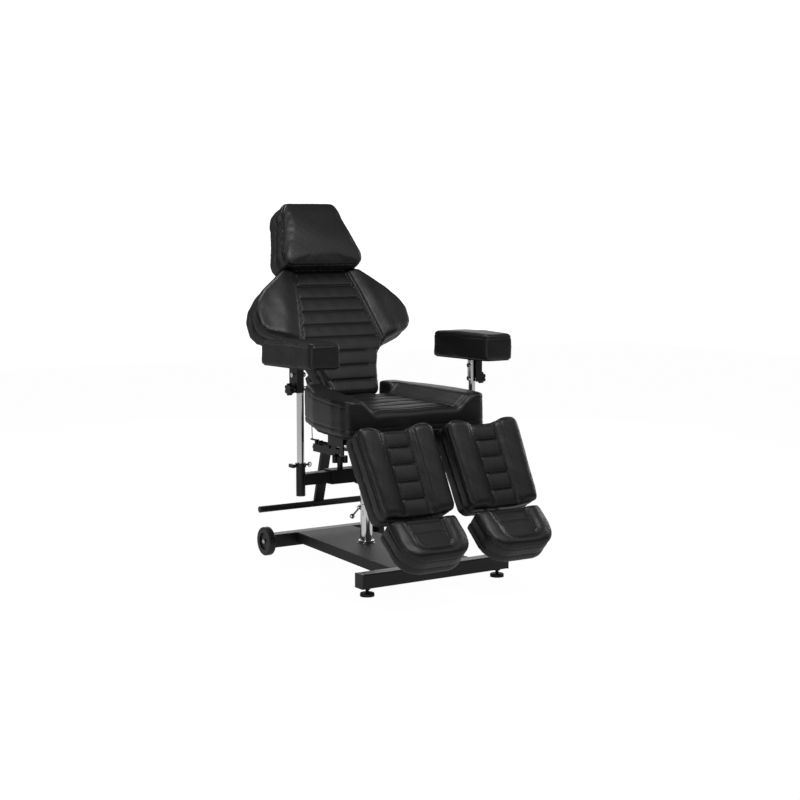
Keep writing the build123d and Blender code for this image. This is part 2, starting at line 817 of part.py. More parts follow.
def pad_bracket():
    far = post_x + bracket_reach
    y = (arm_y - bracket_half, arm_y + bracket_half)
    body = span((far - bracket_wall, far), y, (bracket_low_z, bracket_top_z))
    body += span((post_x - bracket_inboard, far), y, (bracket_top_z - bracket_wall, bracket_top_z))
    for edge in (y[0], y[1] - bracket_wall):
        body += span((post_x, far), (edge, edge + bracket_wall), (bracket_low_z, bracket_top_z))
    through = (far - bracket_wall - overrun, far + overrun)
    body -= round_x(bolt_radius + run_gap, arm_y, pivot_z, *through)
    drop = pivot_z - clamp_z
    steps = [slot_degrees * i / 6 for i in range(-6, 7)]
    for degrees in steps:
        angle = math.radians(degrees)
        body -= round_x(bolt_radius + seam_gap, arm_y + drop * math.sin(angle),
                        pivot_z - drop * math.cos(angle), *through)
    return body


def arm_pad(turn):
    outline = Rectangle(2 * arm_pad_half_width, 2 * arm_pad_half_length)
    outline = fillet(outline.vertices(), arm_pad_corner)
    pad = Pos(0, 0, arm_pad_low_z + arm_pad_board) * extrude(outline, arm_pad_top_z - arm_pad_low_z
                                                             - arm_pad_board)
    crown = Pos(0, 0, arm_pad_top_z - arm_pad_crown_radius) * Rot(0, 90, 0)
    pad &= crown * Cylinder(arm_pad_crown_radius, 2 * arm_pad_half_length)
    pad = fillet(pad.edges().group_by(Axis.Z)[-1], arm_pad_edge)
    board = Rectangle(2 * arm_pad_half_width - arm_pad_edge, 2 * arm_pad_half_length - arm_pad_edge)
    board = fillet(board.vertices(), arm_pad_corner)
    board = Pos(0, 0, arm_pad_low_z) * extrude(board, arm_pad_board)
    place = Pos(post_x, arm_y, 0) * Rot(0, 0, turn)
    return place * pad, place * board


def arm_knob():
    top = arm_z + arm_outer_size / 2
    low = arm_z + arm_inner_size / 2 + seam_gap
    knob = Pos(knob_x, arm_y, knob_low_z + knob_height / 2) * star(knob_radius, knob_lobe_radius,
                                                                     knob_height)
    knob += round_z(knob_stem_radius, knob_x, arm_y, low, knob_low_z)
    knob += round_z(knob_stem_radius * 2, knob_x, arm_y, top + seam_gap, knob_low_z)
    return knob


def build_arms():
    save(arm_cross_tube(), "arm_cross_tube")
    for side, turn in (("_left", arm_pad_left_degrees), ("_right", -arm_pad_right_degrees)):
        pad, board = arm_pad(turn)
        pieces = {"arm_tube": socket_tube(), "arm_knob": arm_knob(), "post_collar": collar(),
                  "post_pin": ring_pin(), "arm_post": post(), "clamp_knob": clamp_knob(),
                  "armrest_bracket": pad_bracket() + board, "armrest_cushion": pad}
        for name, shape in pieces.items():
            save(shape if side == "_left" else flip(shape), name + side)


def seat_outline(inset):
    half = [seat_half_front, seat_half_mid, seat_half_waist, seat_half_rear]
    y = [seat_front_y, seat_mid_y, seat_waist_y, seat_rear_y]
    right = [(half[i] - inset, y[i]) for i in range(4)]
    right[0] = (half[0] - inset, y[0] + inset)
    right[3] = (half[3] - inset, y[3] - inset)
    left = [(-x, v) for x, v in reversed(right)]
    outline = polygon(right + left)
    corners = outline.vertices().sort_by(Axis.Y)
    return fillet(corners[:2], seat_corner - inset / 2)


def seat_split():
    return polygon([(-seat_centre_half_front, seat_front_y - overrun),
                    (seat_centre_half_front, seat_front_y - overrun),
                    (seat_centre_half_rear, seat_centre_rear_y),
                    (-seat_centre_half_rear, seat_centre_rear_y)])


# The region that both side bolsters leave free: the centre cushion and the lower end of the back
def between_bolsters():
    front = seat_centre_half_front + seam_gap
    rear = seat_centre_half_rear + seam_gap
    return polygon([(-front, seat_front_y - overrun), (front, seat_front_y - overrun),
                    (rear, seat_centre_rear_y), (rear, seat_rear_y + overrun),
                    (-rear, seat_rear_y + overrun), (-rear, seat_centre_rear_y)])


def back_notch():
    return polygon([(-seat_centre_half_rear, seat_centre_rear_y),
                    (seat_centre_half_rear, seat_centre_rear_y),
                    (seat_centre_half_rear, seat_rear_y + overrun),
                    (-seat_centre_half_rear, seat_rear_y + overrun)])


def seat_wedge(front_z, rear_z, rear_y):
    side = polygon([(seat_front_y - overrun, board_top_z), (rear_y, board_top_z),
                    (rear_y, rear_z), (seat_front_y - overrun, front_z)])
    return extrude(Plane.YZ * side, seat_half_front, both=True)


def build_seat():
    height = bolster_rear_z - board_top_z
    board = Pos(0, 0, board_low_z) * extrude(seat_outline(board_inset), board_top_z - board_low_z)
    notch = Pos(0, 0, board_low_z - overrun) * extrude(back_notch(), height)
    save(board - notch, "seat_board")
    block = Pos(0, 0, board_top_z) * extrude(seat_outline(0), height)
    centre_prism = Pos(0, 0, board_top_z) * extrude(seat_split(), height)
    centre = block & centre_prism & seat_wedge(seat_centre_front_z, seat_centre_rear_z,
                                                seat_centre_rear_y)
    front_top = centre.edges().filter_by(Axis.X).sort_by(Axis.Y)[:2].sort_by(Axis.Z)[-1]
    centre = fillet(front_top, seat_edge)
    for i in range(seat_groove_count_share):
        y = seat_groove_first_y + i * seat_groove_pitch
        rise = (seat_centre_rear_z - seat_centre_front_z) / (seat_centre_rear_y - seat_front_y)
        z = seat_centre_front_z + (y - seat_front_y) * rise
        centre -= span((-seat_half_front, seat_half_front), (y, y + groove_width),
                       (z - groove_depth, z + overrun + overrun))
    save(centre, "seat_cushion")
    middle = Pos(0, 0, board_top_z) * extrude(between_bolsters(), height)
    sides = block & seat_wedge(bolster_front_z, bolster_rear_z, seat_rear_y)
    right = (sides - middle) & span((-seat_half_front, 0), (seat_front_y, seat_rear_y),
                                    (board_top_z, bolster_rear_z))
    right = fillet(right.faces().sort_by(Axis.Z)[-1].edges(), seat_edge)
    save(right, "seat_bolster_right")
    save(flip(right), "seat_bolster_left")


def widths_face(rows, corner):
    right = [(half, v) for v, half in rows]
    left = [(-half, v) for v, half in reversed(rows)]
    outline = polygon(right + left)
    return fillet(outline.vertices(), corner)


def back_outline():
    rows = [(back_bottom_v, back_bottom_half), (back_waist_v, back_waist_half),
            (back_flare_v, back_flare_half), (back_wing_low_v, back_wing_low_half),
            (back_wing_v, back_wing_half), (back_tip_low_v, back_tip_half),
            (back_tip_high_v, back_tip_half), (back_shoulder_v, back_shoulder_half),
            (back_upper_v, back_upper_half), (back_top_v, back_top_half)]
    return widths_face(rows, back_corner)


def crowned(outline, layer, crown_radius, reach, edge, mid):
    slab = Pos(0, 0, -layer) * extrude(outline, layer)
    crown = Pos(0, mid, -crown_radius) * Rot(0, 90, 0) * Cylinder(crown_radius, reach * 2)
    slab &= crown
    face = slab.faces().sort_by(Axis.Z)[-1]
    return fillet(face.edges(), edge)


def build_back():
    place = lean(back_origin_y, back_origin_z, back_tilt_degrees)
    mid = (back_bottom_v + back_top_v) / 2
    front = crowned(back_outline(), back_front_layer, back_crown_radius,
                    back_tip_half + overrun, back_edge, mid)
    for i in range(back_groove_count_share):
        v = back_groove_low_v + i * back_groove_pitch
        depth = back_crown_radius - math.sqrt(back_crown_radius ** 2 - (v - mid) ** 2) + groove_depth
        front -= span((-back_groove_end, back_groove_end), (v, v + groove_width), (-depth, overrun))
    save(place * front, "backrest_cushion")
    shell = Pos(0, 0, -back_total) * extrude(back_outline(), back_total - back_front_layer)
    save(place * shell, "backrest_shell")
    save(place * back_frame(place), "back_frame")


def back_frame(place):
    near = -back_total - seam_gap
    w = (near - frame_bar_depth, near)
    hinge = place.to_local_coords(Vector(0, back_hinge_y, back_hinge_z))
    parts = []
    for side in (-1, 1):
        x = sorted((side * frame_bar_inner, side * frame_bar_outer))
        parts.append(span(x, (guide_low_v - back_groove_pitch * 6, frame_bar_top_v), w))
        eye = sorted((side * (back_hinge_x - eye_half), side * (back_hinge_x + eye_half)))
        parts.append(span(eye, (hinge.Y, guide_low_v - back_groove_pitch * 6), w))
        parts.append(round_x(back_eye_radius, hinge.Y, hinge.Z, *eye))
    parts.append(span((-frame_bar_outer, frame_bar_outer), (guide_low_v, frame_bar_top_v), w))
    parts.append(span((-frame_bar_outer, frame_bar_outer),
                      (frame_cross_v - frame_cross_height, frame_cross_v), w))
    handle_y = handle_v
    parts.append(span((handle_x - handle_radius, -frame_bar_inner), (handle_y - handle_radius,
                      handle_y + handle_radius), (near - handle_radius * 2, near)))
    frame = parts[0]
    for piece in parts[1:]:
        frame += piece
    bore_w = -head_rod_w
    for x in (-head_rod_x, head_rod_x):
        frame -= round_y(head_rod_radius + run_gap, x, bore_w, guide_low_v - overrun,
                         frame_bar_top_v + overrun)
    for x in (-back_hinge_x, back_hinge_x):
        frame -= round_x(hinge_pin_radius + run_gap, hinge.Y, hinge.Z, x - hinge_pin_half,
                         x + hinge_pin_half)
    return frame


def head_rods():
    parts = []
    bridge_x = (-head_rod_x - head_rod_radius, head_rod_x + head_rod_radius)
    for x in (-head_rod_x, head_rod_x):
        parts.append(round_y(head_rod_radius, x, -head_rod_w, head_rod_low_v, head_hinge_v))
    tab = span((-head_block_half, head_block_half), (head_hinge_v - head_eye_radius, head_hinge_v),
               (-head_rod_w - head_rod_radius, -head_rod_w + head_rod_radius))
    tab += round_x(head_eye_radius, head_hinge_v, -head_rod_w, -head_block_half, head_block_half)
    bridge = span(bridge_x, (head_hinge_v - head_eye_radius * 2, head_hinge_v - head_eye_radius
                  - seam_gap), (-head_rod_w - head_rod_radius, -head_rod_w + head_rod_radius))
    tab += span((-head_block_half, head_block_half), (head_hinge_v - head_eye_radius * 2, head_hinge_v),
                (-head_rod_w - head_rod_radius, -head_rod_w + head_rod_radius))
    rods = parts[0] + parts[1] + bridge + tab
    for x in (-head_rod_x, head_rod_x):
        rods -= round_y(head_rod_radius + run_gap, x, -head_rod_w,
                        head_hinge_v - head_eye_radius - seam_gap, head_hinge_v + overrun)
    pin = round_x(head_pin_radius, head_hinge_v, -head_rod_w, -carrier_outer, carrier_outer)
    return rods + pin


def build_head():
    back_place = lean(back_origin_y, back_origin_z, back_tilt_degrees)
    place = lean(head_origin_y, head_origin_z, head_tilt_degrees)
    rows = [(head_low_v, head_low_half), (head_wide_v, head_wide_half),
            (head_upper_v, head_upper_half), (head_top_v, head_top_half)]
    outline = widths_face(rows, head_corner)
    mid = (head_low_v + head_top_v) / 2
    front = crowned(outline, head_front_layer, head_crown_radius,
                    head_wide_half + overrun, head_edge, mid)
    save(place * front, "headrest_cushion")
    shell = Pos(0, 0, -head_total) * extrude(outline, head_total - head_front_layer)
    save(place * shell, "headrest_shell")
    save(back_place * head_rods(), "headrest_rods")
    hinge_point = lean_point(back_place, head_hinge_v, -head_rod_w)
    hinge = place.to_local_coords(hinge_point)
    near = -head_total
    carrier = span((-carrier_plate_half, carrier_plate_half),
                   (carrier_plate_low_v, carrier_plate_top_v), (near - carrier_plate_thickness, near))
    for side in (-1, 1):
        x = sorted((side * carrier_inner, side * carrier_outer))
        ear = round_x(head_eye_radius, hinge.Y, hinge.Z, *x)
        ear += span(x, (hinge.Y - head_eye_radius, hinge.Y + head_eye_radius), (hinge.Z, near))
        carrier += ear
    carrier -= round_x(head_pin_radius + run_gap, hinge.Y, hinge.Z, -carrier_outer - overrun,
                       carrier_outer + overrun)
    save(place * carrier, "headrest_carrier")


def calf_pad():
    outline = polygon([(calf_top_inner, calf_top_v), (calf_top_outer, calf_top_v),
                       (calf_bottom_outer, calf_bottom_v), (calf_bottom_inner, calf_bottom_v)])
    outline = fillet(outline.vertices(), calf_corner)
    pad = Pos(0, 0, -calf_total) * extrude(outline, calf_total)
    pad = fillet(pad.edges().group_by(Axis.Z)[-1], calf_edge)
    pad -= span((calf_panel_inner, calf_panel_outer), (calf_panel_low_v, calf_top_v + overrun),
                (-calf_panel_depth, overrun))
    for i in range(calf_groove_count_share):
        v = calf_groove_first_v - i * calf_groove_pitch
        floor = -calf_panel_depth
        pad -= span((calf_panel_inner, calf_panel_outer), (v, v + groove_width),
                    (floor - groove_depth, overrun))
    return pad


def calf_bracket(place, foot_hinge):
    near = -calf_total - seam_gap
    plate_w = (near - leg_plate_thickness, near)
    bracket = span((leg_plate_inner, leg_plate_outer), (leg_plate_bottom_v, leg_plate_top_v), plate_w)
    hinge = place.to_local_coords(Vector(0, calf_hinge_y, calf_hinge_z))
    for shift in (-1, 1):
        x = sorted((calf_hinge_x + shift * fork_inner, calf_hinge_x + shift * fork_outer))
        ear = round_x(hinge_eye_radius, hinge.Y, hinge.Z, *x)
        ear += span(x, (hinge.Y - hinge_eye_radius * 3, hinge.Y), (hinge.Z - hinge_eye_radius, near))
        bracket += ear
    bracket -= round_x(hinge_pin_radius + run_gap, hinge.Y, hinge.Z, calf_hinge_x - hinge_pin_half,
                       calf_hinge_x + hinge_pin_half)
    for shift in (-1, 1):
        x = sorted((calf_hinge_x + shift * foot_fork_inner, calf_hinge_x + shift * foot_fork_outer))
        ear = round_x(foot_hinge_radius, foot_hinge.Y, foot_hinge.Z, *x)
        ear += span(x, (foot_hinge.Y, leg_plate_bottom_v + leg_plate_thickness * 3),
                    (near - leg_plate_thickness * 2, near))
        bracket += ear
    return bracket - round_x(foot_pin_radius + run_gap, foot_hinge.Y, foot_hinge.Z,
                             calf_hinge_x - foot_fork_outer, calf_hinge_x + foot_fork_outer)


def foot_pad():
    outline = polygon([(foot_pad_inner, foot_pad_top_v), (foot_pad_outer, foot_pad_top_v),
                       (foot_pad_outer, foot_pad_bottom_v), (foot_pad_inner, foot_pad_bottom_v)])
    corners = outline.vertices().sort_by(Axis.Y)
    outline = fillet(corners[:2], foot_pad_low_corner)
    pad = Pos(0, 0, -foot_pad_total) * extrude(outline, foot_pad_total)
    pad = fillet(pad.edges().group_by(Axis.Z)[-1], foot_pad_edge)
    inset = span((foot_pad_inner + foot_pad_inset, foot_pad_outer - foot_pad_inset),
                 (foot_pad_inset_low_v, foot_pad_top_v + overrun), (-foot_pad_inset_depth, overrun))
    pad -= inset
    pad -= span((foot_pad_inner + foot_pad_inset, foot_pad_outer - foot_pad_inset),
                (foot_groove_v, foot_groove_v + groove_width),
                (-foot_pad_inset_depth - groove_depth, overrun))
    return pad


def foot_bracket(place, foot_hinge):
    near = -foot_pad_total - seam_gap
    plate_w = (near - leg_plate_thickness, near)
    plate = span((leg_plate_inner, leg_plate_outer),
                 (foot_pad_inset_low_v, foot_pad_top_v - foot_hinge_radius), plate_w)
    for shift in (-1, 1):
        x = sorted((calf_hinge_x + shift * (foot_fork_inner - foot_ear_half - seam_gap),
                    calf_hinge_x + shift * (foot_fork_inner - seam_gap)))
        ear = round_x(foot_hinge_radius, foot_hinge.Y, foot_hinge.Z, *x)
        ear += span(x, sorted((foot_hinge.Y, foot_pad_top_v - foot_hinge_radius * 3)),
                    (foot_hinge.Z - foot_hinge_radius / 2, near))
        plate += ear
    return plate + round_x(foot_pin_radius, foot_hinge.Y, foot_hinge.Z,
                           calf_hinge_x - foot_fork_outer, calf_hinge_x + foot_fork_outer)


def build_legs():
    calf_place = lean(calf_origin_y, calf_origin_z, calf_tilt_degrees)
    foot_place = lean(foot_origin_y, foot_origin_z, foot_tilt_degrees)
    world_hinge = Vector(0, foot_hinge_y, foot_hinge_z)
    calf = calf_place * calf_pad()
    bracket = calf_place * calf_bracket(calf_place, calf_place.to_local_coords(world_hinge))
    foot = foot_place * foot_pad()
    foot_arm = foot_place * foot_bracket(foot_place, foot_place.to_local_coords(world_hinge))
    pieces = {"calf_cushion": calf, "calf_bracket": bracket, "foot_cushion": foot,
              "foot_bracket": foot_arm}
    for name, shape in pieces.items():
        save(shape, name + "_left")
        save(flip(shape), name + "_right")


os.makedirs("parts", exist_ok=True)
build_base()
build_wheels()
build_column()
build_pump()
build_seat_frame()
build_lock()
build_arms()
build_seat()
build_back()
build_head()
build_legs()
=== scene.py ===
import json
import math
import bpy
import numpy as np
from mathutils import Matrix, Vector


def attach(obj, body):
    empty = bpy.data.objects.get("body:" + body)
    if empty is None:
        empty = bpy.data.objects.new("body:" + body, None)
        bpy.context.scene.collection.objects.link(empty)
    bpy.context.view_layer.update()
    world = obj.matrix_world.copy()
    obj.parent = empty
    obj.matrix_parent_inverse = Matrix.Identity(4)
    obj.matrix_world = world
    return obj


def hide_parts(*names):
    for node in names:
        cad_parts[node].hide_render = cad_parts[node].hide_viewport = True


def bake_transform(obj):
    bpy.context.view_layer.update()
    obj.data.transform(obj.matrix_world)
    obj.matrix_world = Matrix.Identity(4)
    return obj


bl_info = {"name": "Tattoo chair", "version": (1, 0, 0), "blender": (4, 2, 0),
           "location": "View3D > Sidebar > Chair", "category": "Add Mesh",
           "description": "Upholstery, cable, finishes and stage for a reclining tattoo chair"}

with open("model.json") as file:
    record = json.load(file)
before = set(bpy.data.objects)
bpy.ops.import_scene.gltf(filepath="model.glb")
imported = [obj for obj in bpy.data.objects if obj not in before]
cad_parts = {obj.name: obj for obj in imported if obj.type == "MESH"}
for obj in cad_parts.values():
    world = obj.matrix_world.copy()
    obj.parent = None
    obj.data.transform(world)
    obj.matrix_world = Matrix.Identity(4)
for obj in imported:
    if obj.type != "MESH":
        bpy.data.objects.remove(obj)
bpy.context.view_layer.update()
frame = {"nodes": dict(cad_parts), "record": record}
MM = 0.001
SIDES = (("left", 1.0), ("right", -1.0))

# Places and widths are in millimetres, unless a comment gives another unit.
# Planes of the leaning cushions, as in the solids: origin (y, z) and tilt from the vertical
BACK_PLANE = (287.0, 827.0, 30.6)
HEAD_PLANE = (422.0, 1142.0, 27.9)
CALF_PLANE = (-361.0, 562.0, 29.2)
FOOT_PLANE = (-509.0, 290.0, 48.7)

# Backrest: edge of its panel (half width, height), foot of that edge, distance of a wing's crest
# from it, width of the slope beside it, and the heights of the sewn channels
BACK_PANEL = np.array([[101.0, 302.0], [111.0, 270.0], [121.0, 222.0], [131.0, 166.0], [142.0, 106.0],
                       [153.0, 54.0], [163.0, 6.0], [166.0, -22.0], [158.0, -44.0], [146.0, -62.0],
                       [138.0, -74.0]])
PANEL_FOOT = -74.0
WING_CREST = 62.0
SLOPE_WIDTH = 11.0
BACK_CHANNELS = (226.0, 169.0, 112.0, 56.0, 3.0, -54.0, -112.0, -170.0)

# Headrest: height about which it is stretched, rise of its face, lean of its top, and its top edge
HEAD_MIDDLE = 86.0
HEAD_BULGE = 9.0
HEAD_LEAN = 6.0
HEAD_TOP = 214.0

# Calf rest: middle line, top and bottom edge, half width of the sunk panel and of the slopes that
# end beside it, and the heights of the sewn channels
CALF_MIDDLE = 180.0
CALF_TOP = 15.0
CALF_BOTTOM = -300.0
CALF_PANEL_HALF = 46.0
CALF_SLOPE_HALF = 68.0
CALF_CHANNELS = (-59.0, -120.0, -181.0, -242.0)

# Foot rest: middle line, half width, bottom edge, corner radius, and the heights of the channels
FOOT_MIDDLE = 175.0
FOOT_HALF = 135.0
FOOT_BOTTOM = -166.0
FOOT_CORNER = 60.0
FOOT_CHANNELS = (-56.0, -14.0)

# Seat: front and rear end of its panel, rear end of the side rolls, rounding of the front edge, and
# the places of the sewn channels
SEAT_FRONT = -223.0
SEAT_PANEL_REAR = 146.0
SEAT_REAR = 232.0
SEAT_EDGE = 26.0
SEAT_CHANNELS = (-168.0, -106.0, -44.0, 18.0, 80.0)

# Armrest: underside of the pad's solid, and its seam
ARM_BASE = 790.0
ARM_SEAM = 836.0

# Skins: rounding of the leg pads' rims, height of the quilted rolls, swell of a skin without cloth,
# and the frames that the cloth runs for
RIM_RADIUS = 20.0
QUILT_HEIGHT = 3.2
PLAIN_SWELL = 0.6
CLOTH_FRAMES = 20

# Release cable: control points of its curve, and its radius
CABLE_POINTS = np.array([[-118.0, 274.0, 690.0], [-150.0, 254.0, 640.0], [-172.0, 228.0, 570.0],
                         [-190.0, 188.0, 505.0], [-198.0, 172.0, 474.0]])
CABLE_RADIUS = 1.6

# Finishes of the rigid parts: colour and roughness; softened edges: width in metres and least angle
PAINT_ROUGHNESS = 0.34
COATS = {"tray_paint": ((0.012, 0.012, 0.013), 0.48), "black_plastic": ((0.012, 0.012, 0.012), 0.36),
         "black_rubber": ((0.010, 0.010, 0.010), 0.55), "spring_steel": ((0.008, 0.008, 0.008), 0.30),
         "board_ply": ((0.012, 0.011, 0.010), 0.60)}
METALS = {"chrome": ((0.90, 0.90, 0.91), 0.10), "zinc": ((0.62, 0.62, 0.63), 0.24)}
EDGE_WIDTH = 0.0008
EDGE_ANGLE = 40.0

# Lamps, in metres: the point that they face; name, place, share of the power, width and height
LAMP_TARGET = (0.0, 0.05, 0.6)
LAMPS = (("key", (-3.0, -1.9, 1.5), 0.14, 0.25, 1.8), ("high", (0.0, -1.6, 3.2), 0.26, 0.6, 0.6),
         ("front", (2.2, -2.2, 3.3), 0.09, 1.8, 1.6), ("side", (3.4, 0.4, 1.6), 0.18, 0.3, 2.0),
         ("top", (-0.5, 0.9, 3.4), 0.20, 0.6, 0.6), ("rim", (-2.4, 2.8, 1.9), 0.08, 0.4, 2.0),
         ("back", (2.4, 3.8, 1.3), 0.26, 3.0, 2.0))

# Floor and surroundings: half side and height of the floor, strength of its glow, shares of the
# glow for the camera and for reflections, and the surroundings' strengths for the camera and else
FLOOR_HALF = 9000.0
FLOOR_DROP = -0.5
FLOOR_GLOW = 1.09
FLOOR_SEEN = 0.90
FLOOR_MIRRORED = 0.35
WORLD_SEEN = 1.2
WORLD_SOFT = 0.12

# Camera of the photograph: place in metres, turn and dip in degrees, lens and sensor in mm
CAMERA_PLACE = (-2.9026, -4.5522, 1.1934)
CAMERA_TURN = 33.132
CAMERA_DIP = 6.0975
CAMERA_LENS = 68.16
CAMERA_SENSOR = 36.0


# Arrays and meshes

class Lean:
    """A leaning plane: u is X, v runs up along it and w stands out in front, all in millimetres."""

    def __init__(self, y, z, degrees):
        a = math.radians(degrees)
        self.origin = np.array([0.0, y, z])
        self.axes = np.array([[1.0, 0.0, 0.0], [0.0, math.sin(a), math.cos(a)],
                              [0.0, -math.cos(a), math.sin(a)]])

    def local(self, points):
        return (points - self.origin) @ self.axes.T

    def world(self, points):
        return points @ self.axes + self.origin


def mesh_arrays(mesh):
    """Corner positions in millimetres, corner index of each loop, and the size of each face."""
    points = np.empty(len(mesh.vertices) * 3)
    mesh.vertices.foreach_get("co", points)
    loops = np.empty(len(mesh.loops), dtype=np.int32)
    mesh.loops.foreach_get("vertex_index", loops)
    totals = np.empty(len(mesh.polygons), dtype=np.int32)
    mesh.polygons.foreach_get("loop_total", totals)
    return points.reshape(-1, 3) / MM, loops, totals


def build_mesh(name, points, loops, totals):
    """A mesh from whole arrays, shaded smooth."""
    mesh = bpy.data.meshes.new(name)
    mesh.vertices.add(len(points))
    mesh.vertices.foreach_set("co", (np.asarray(points) * MM).ravel())
    mesh.loops.add(len(loops))
    mesh.loops.foreach_set("vertex_index", loops)
    mesh.polygons.add(len(totals))
    starts = np.concatenate(([0], np.cumsum(totals)[:-1])).astype(np.int32)
    mesh.polygons.foreach_set("loop_start", starts)
    mesh.polygons.foreach_set("loop_total", totals)
    mesh.update(calc_edges=True)
    mesh.shade_smooth()
    return mesh


def add_object(name, data):
    obj = bpy.data.objects.new(name, data)
    bpy.context.scene.collection.objects.link(obj)
    return obj


def drop_object(obj):
    """Removes a working object and its mesh."""
    mesh = obj.data
    bpy.data.objects.remove(obj)
    bpy.data.meshes.remove(mesh)


def evaluated(obj):
    """The arrays of an object with its modifiers applied."""
    graph = bpy.context.evaluated_depsgraph_get()
    graph.update()
    done = obj.evaluated_get(graph)
    mesh = done.to_mesh()
    arrays = mesh_arrays(mesh)
    done.to_mesh_clear()
    return arrays


def with_modifier(arrays, kind, **values):
    """The arrays after one modifier."""
    obj = add_object("working", build_mesh("working", *arrays))
    modifier = obj.modifiers.new(kind, kind)
    for key, value in values.items():
        setattr(modifier, key, value)
    result = evaluated(obj)
    drop_object(obj)
    return result


def join_nodes(names):
    """The arrays of several solids as one, each one's corner indices moved up past those before it."""
    parts = [mesh_arrays(frame["nodes"][name].data) for name in names]
    before = np.cumsum([0] + [len(points) for points, _, _ in parts])
    return (np.vstack([points for points, _, _ in parts]),
            np.concatenate([loops + first for (_, loops, _), first in zip(parts, before)]).astype(np.int32),
            np.concatenate([totals for _, _, totals in parts]))


def face_ends(totals):
    """First loop of each face, the loop just past its last, and the face of each loop."""
    ends = np.cumsum(totals)
    return ends - totals, ends, np.repeat(np.arange(len(totals)), totals)


def flipped(arrays):
    """The mirror image in X, with the loops of each face in reverse so that it still looks out."""
    points, loops, totals = arrays
    starts, ends, face = face_ends(totals)
    index = starts[face] + ends[face] - 1 - np.arange(len(loops))
    return points * np.array([-1.0, 1.0, 1.0]), loops[index], totals


def corner_normals(arrays):
    """Unit normals of the corners: the sum of the cross products of the edges of each face round them."""
    points, loops, totals = arrays
    starts, ends, face = face_ends(totals)
    following = np.arange(len(loops)) + 1
    following[ends - 1] = starts
    cross = np.cross(points[loops], points[loops[following]])
    area = np.stack([np.bincount(face, cross[:, i], len(totals)) for i in range(3)], 1)
    spread = area[face]
    normal = np.stack([np.bincount(loops, spread[:, i], len(points)) for i in range(3)], 1)
    return normal / np.maximum(np.linalg.norm(normal, axis=1, keepdims=True), 1e-9)


def inflate(arrays, pressure, cap, inset):
    """Cloth under air pressure swells the closed form: a shift d becomes cap * tanh(d / cap).
"""
    points, loops, totals = arrays
    normal = corner_normals(arrays)
    if pressure <= 0.0:
        return points + normal * PLAIN_SWELL, loops, totals
    start = points - normal * inset
    obj = add_object("working", build_mesh("working", start, loops, totals))
    cloth = obj.modifiers.new("Cloth", "CLOTH")
    cloth.settings.quality = 4
    cloth.settings.mass = 0.3
    cloth.settings.use_pressure = True
    cloth.settings.uniform_pressure_force = pressure
    cloth.settings.tension_stiffness = 15.0
    cloth.settings.compression_stiffness = 15.0
    cloth.settings.bending_stiffness = 0.5
    cloth.settings.effector_weights.gravity = 0.0
    cloth.collision_settings.use_collision = False
    cloth.point_cache.frame_start = 1
    cloth.point_cache.frame_end = CLOTH_FRAMES
    for number in range(1, CLOTH_FRAMES + 1):
        bpy.context.scene.frame_set(number)
    moved = evaluated(obj)[0]
    drop_object(obj)
    bpy.context.scene.frame_set(1)
    shift = moved - start
    length = np.linalg.norm(shift, axis=1, keepdims=True)
    capped = cap * np.tanh(length / cap)
    return start + shift * capped / np.maximum(length, 1e-9), loops, totals


def softened(names, voxel, pressure, cap, inset, smooth, form):
    """The solids of one cushion as an even skin.

    They are remeshed, formed, remeshed again, smoothed, swollen, smoothed and divided."""
    arrays = with_modifier(join_nodes(names), "REMESH", mode="VOXEL", voxel_size=voxel * MM)
    arrays = (form(arrays[0]), arrays[1], arrays[2])
    arrays = with_modifier(arrays, "REMESH", mode="VOXEL", voxel_size=voxel * MM)
    arrays = with_modifier(arrays, "SMOOTH", factor=0.5, iterations=smooth)
    arrays = inflate(arrays, pressure, cap, inset)
    arrays = with_modifier(arrays, "SMOOTH", factor=0.5, iterations=3)
    return with_modifier(arrays, "SUBSURF", levels=1, render_levels=1)


# Profiles

def reach(points, line):
    """Distance of each flat point from a line through the given corners."""
    best = np.full(len(points), 1e9)
    for a, b in zip(line[:-1], line[1:]):
        way = b - a
        t = np.clip(((points - a) @ way) / (way @ way), 0.0, 1.0)
        gap = np.linalg.norm(points - a - t[:, None] * way, axis=1)
        best = np.minimum(best, gap)
    return best


def nearest(value, places):
    """Distance of each value from the nearest of the places."""
    return np.min(np.abs(value[:, None] - np.asarray(places)[None, :]), axis=1)


def valley(distance, width):
    """1 on a seam, falling off as a bell curve."""
    return np.exp(-(distance / width) ** 2)


def ramp(value, low, high):
    """0 below low, 1 above high, with a smooth step between."""
    t = np.clip((value - low) / (high - low), 0.0, 1.0)
    return t * t * (3.0 - 2.0 * t)


def quilt(value, edges):
    """Rounded rolls between sewn channels: 1 in the middle of each roll, 0 on each channel."""
    edges = np.sort(np.asarray(edges, dtype=float))
    step = np.diff(edges).mean()
    edges = np.concatenate(([edges[0] - step], edges, [edges[-1] + step]))
    index = np.clip(np.searchsorted(edges, value) - 1, 0, len(edges) - 2)
    t = (value - edges[index]) / (edges[index + 1] - edges[index])
    return np.clip(4.0 * t * (1.0 - t), 0.0, 1.0) ** 0.55


def shoulder(distance, radius):
    """How far a rounded edge has dropped at a distance in from the rim: a quarter circle."""
    t = np.clip(distance, 0.0, radius)
    return radius - np.sqrt(radius ** 2 - (radius - t) ** 2)


def wrinkles(points, distance, height, width, seed):
    """Short gathers that run out from a seam and die away: three crossing sine waves."""
    rng = np.random.default_rng(seed)
    wave = np.zeros(len(points))
    for length in (26.0, 17.0, 11.0):
        turn = rng.uniform(0.0, math.tau, 3)
        way = rng.normal(size=3)
        way /= np.linalg.norm(way)
        wave += np.sin(points @ way * math.tau / length + turn[0])
    return height * wave / 3.0 * np.exp(-distance / width)


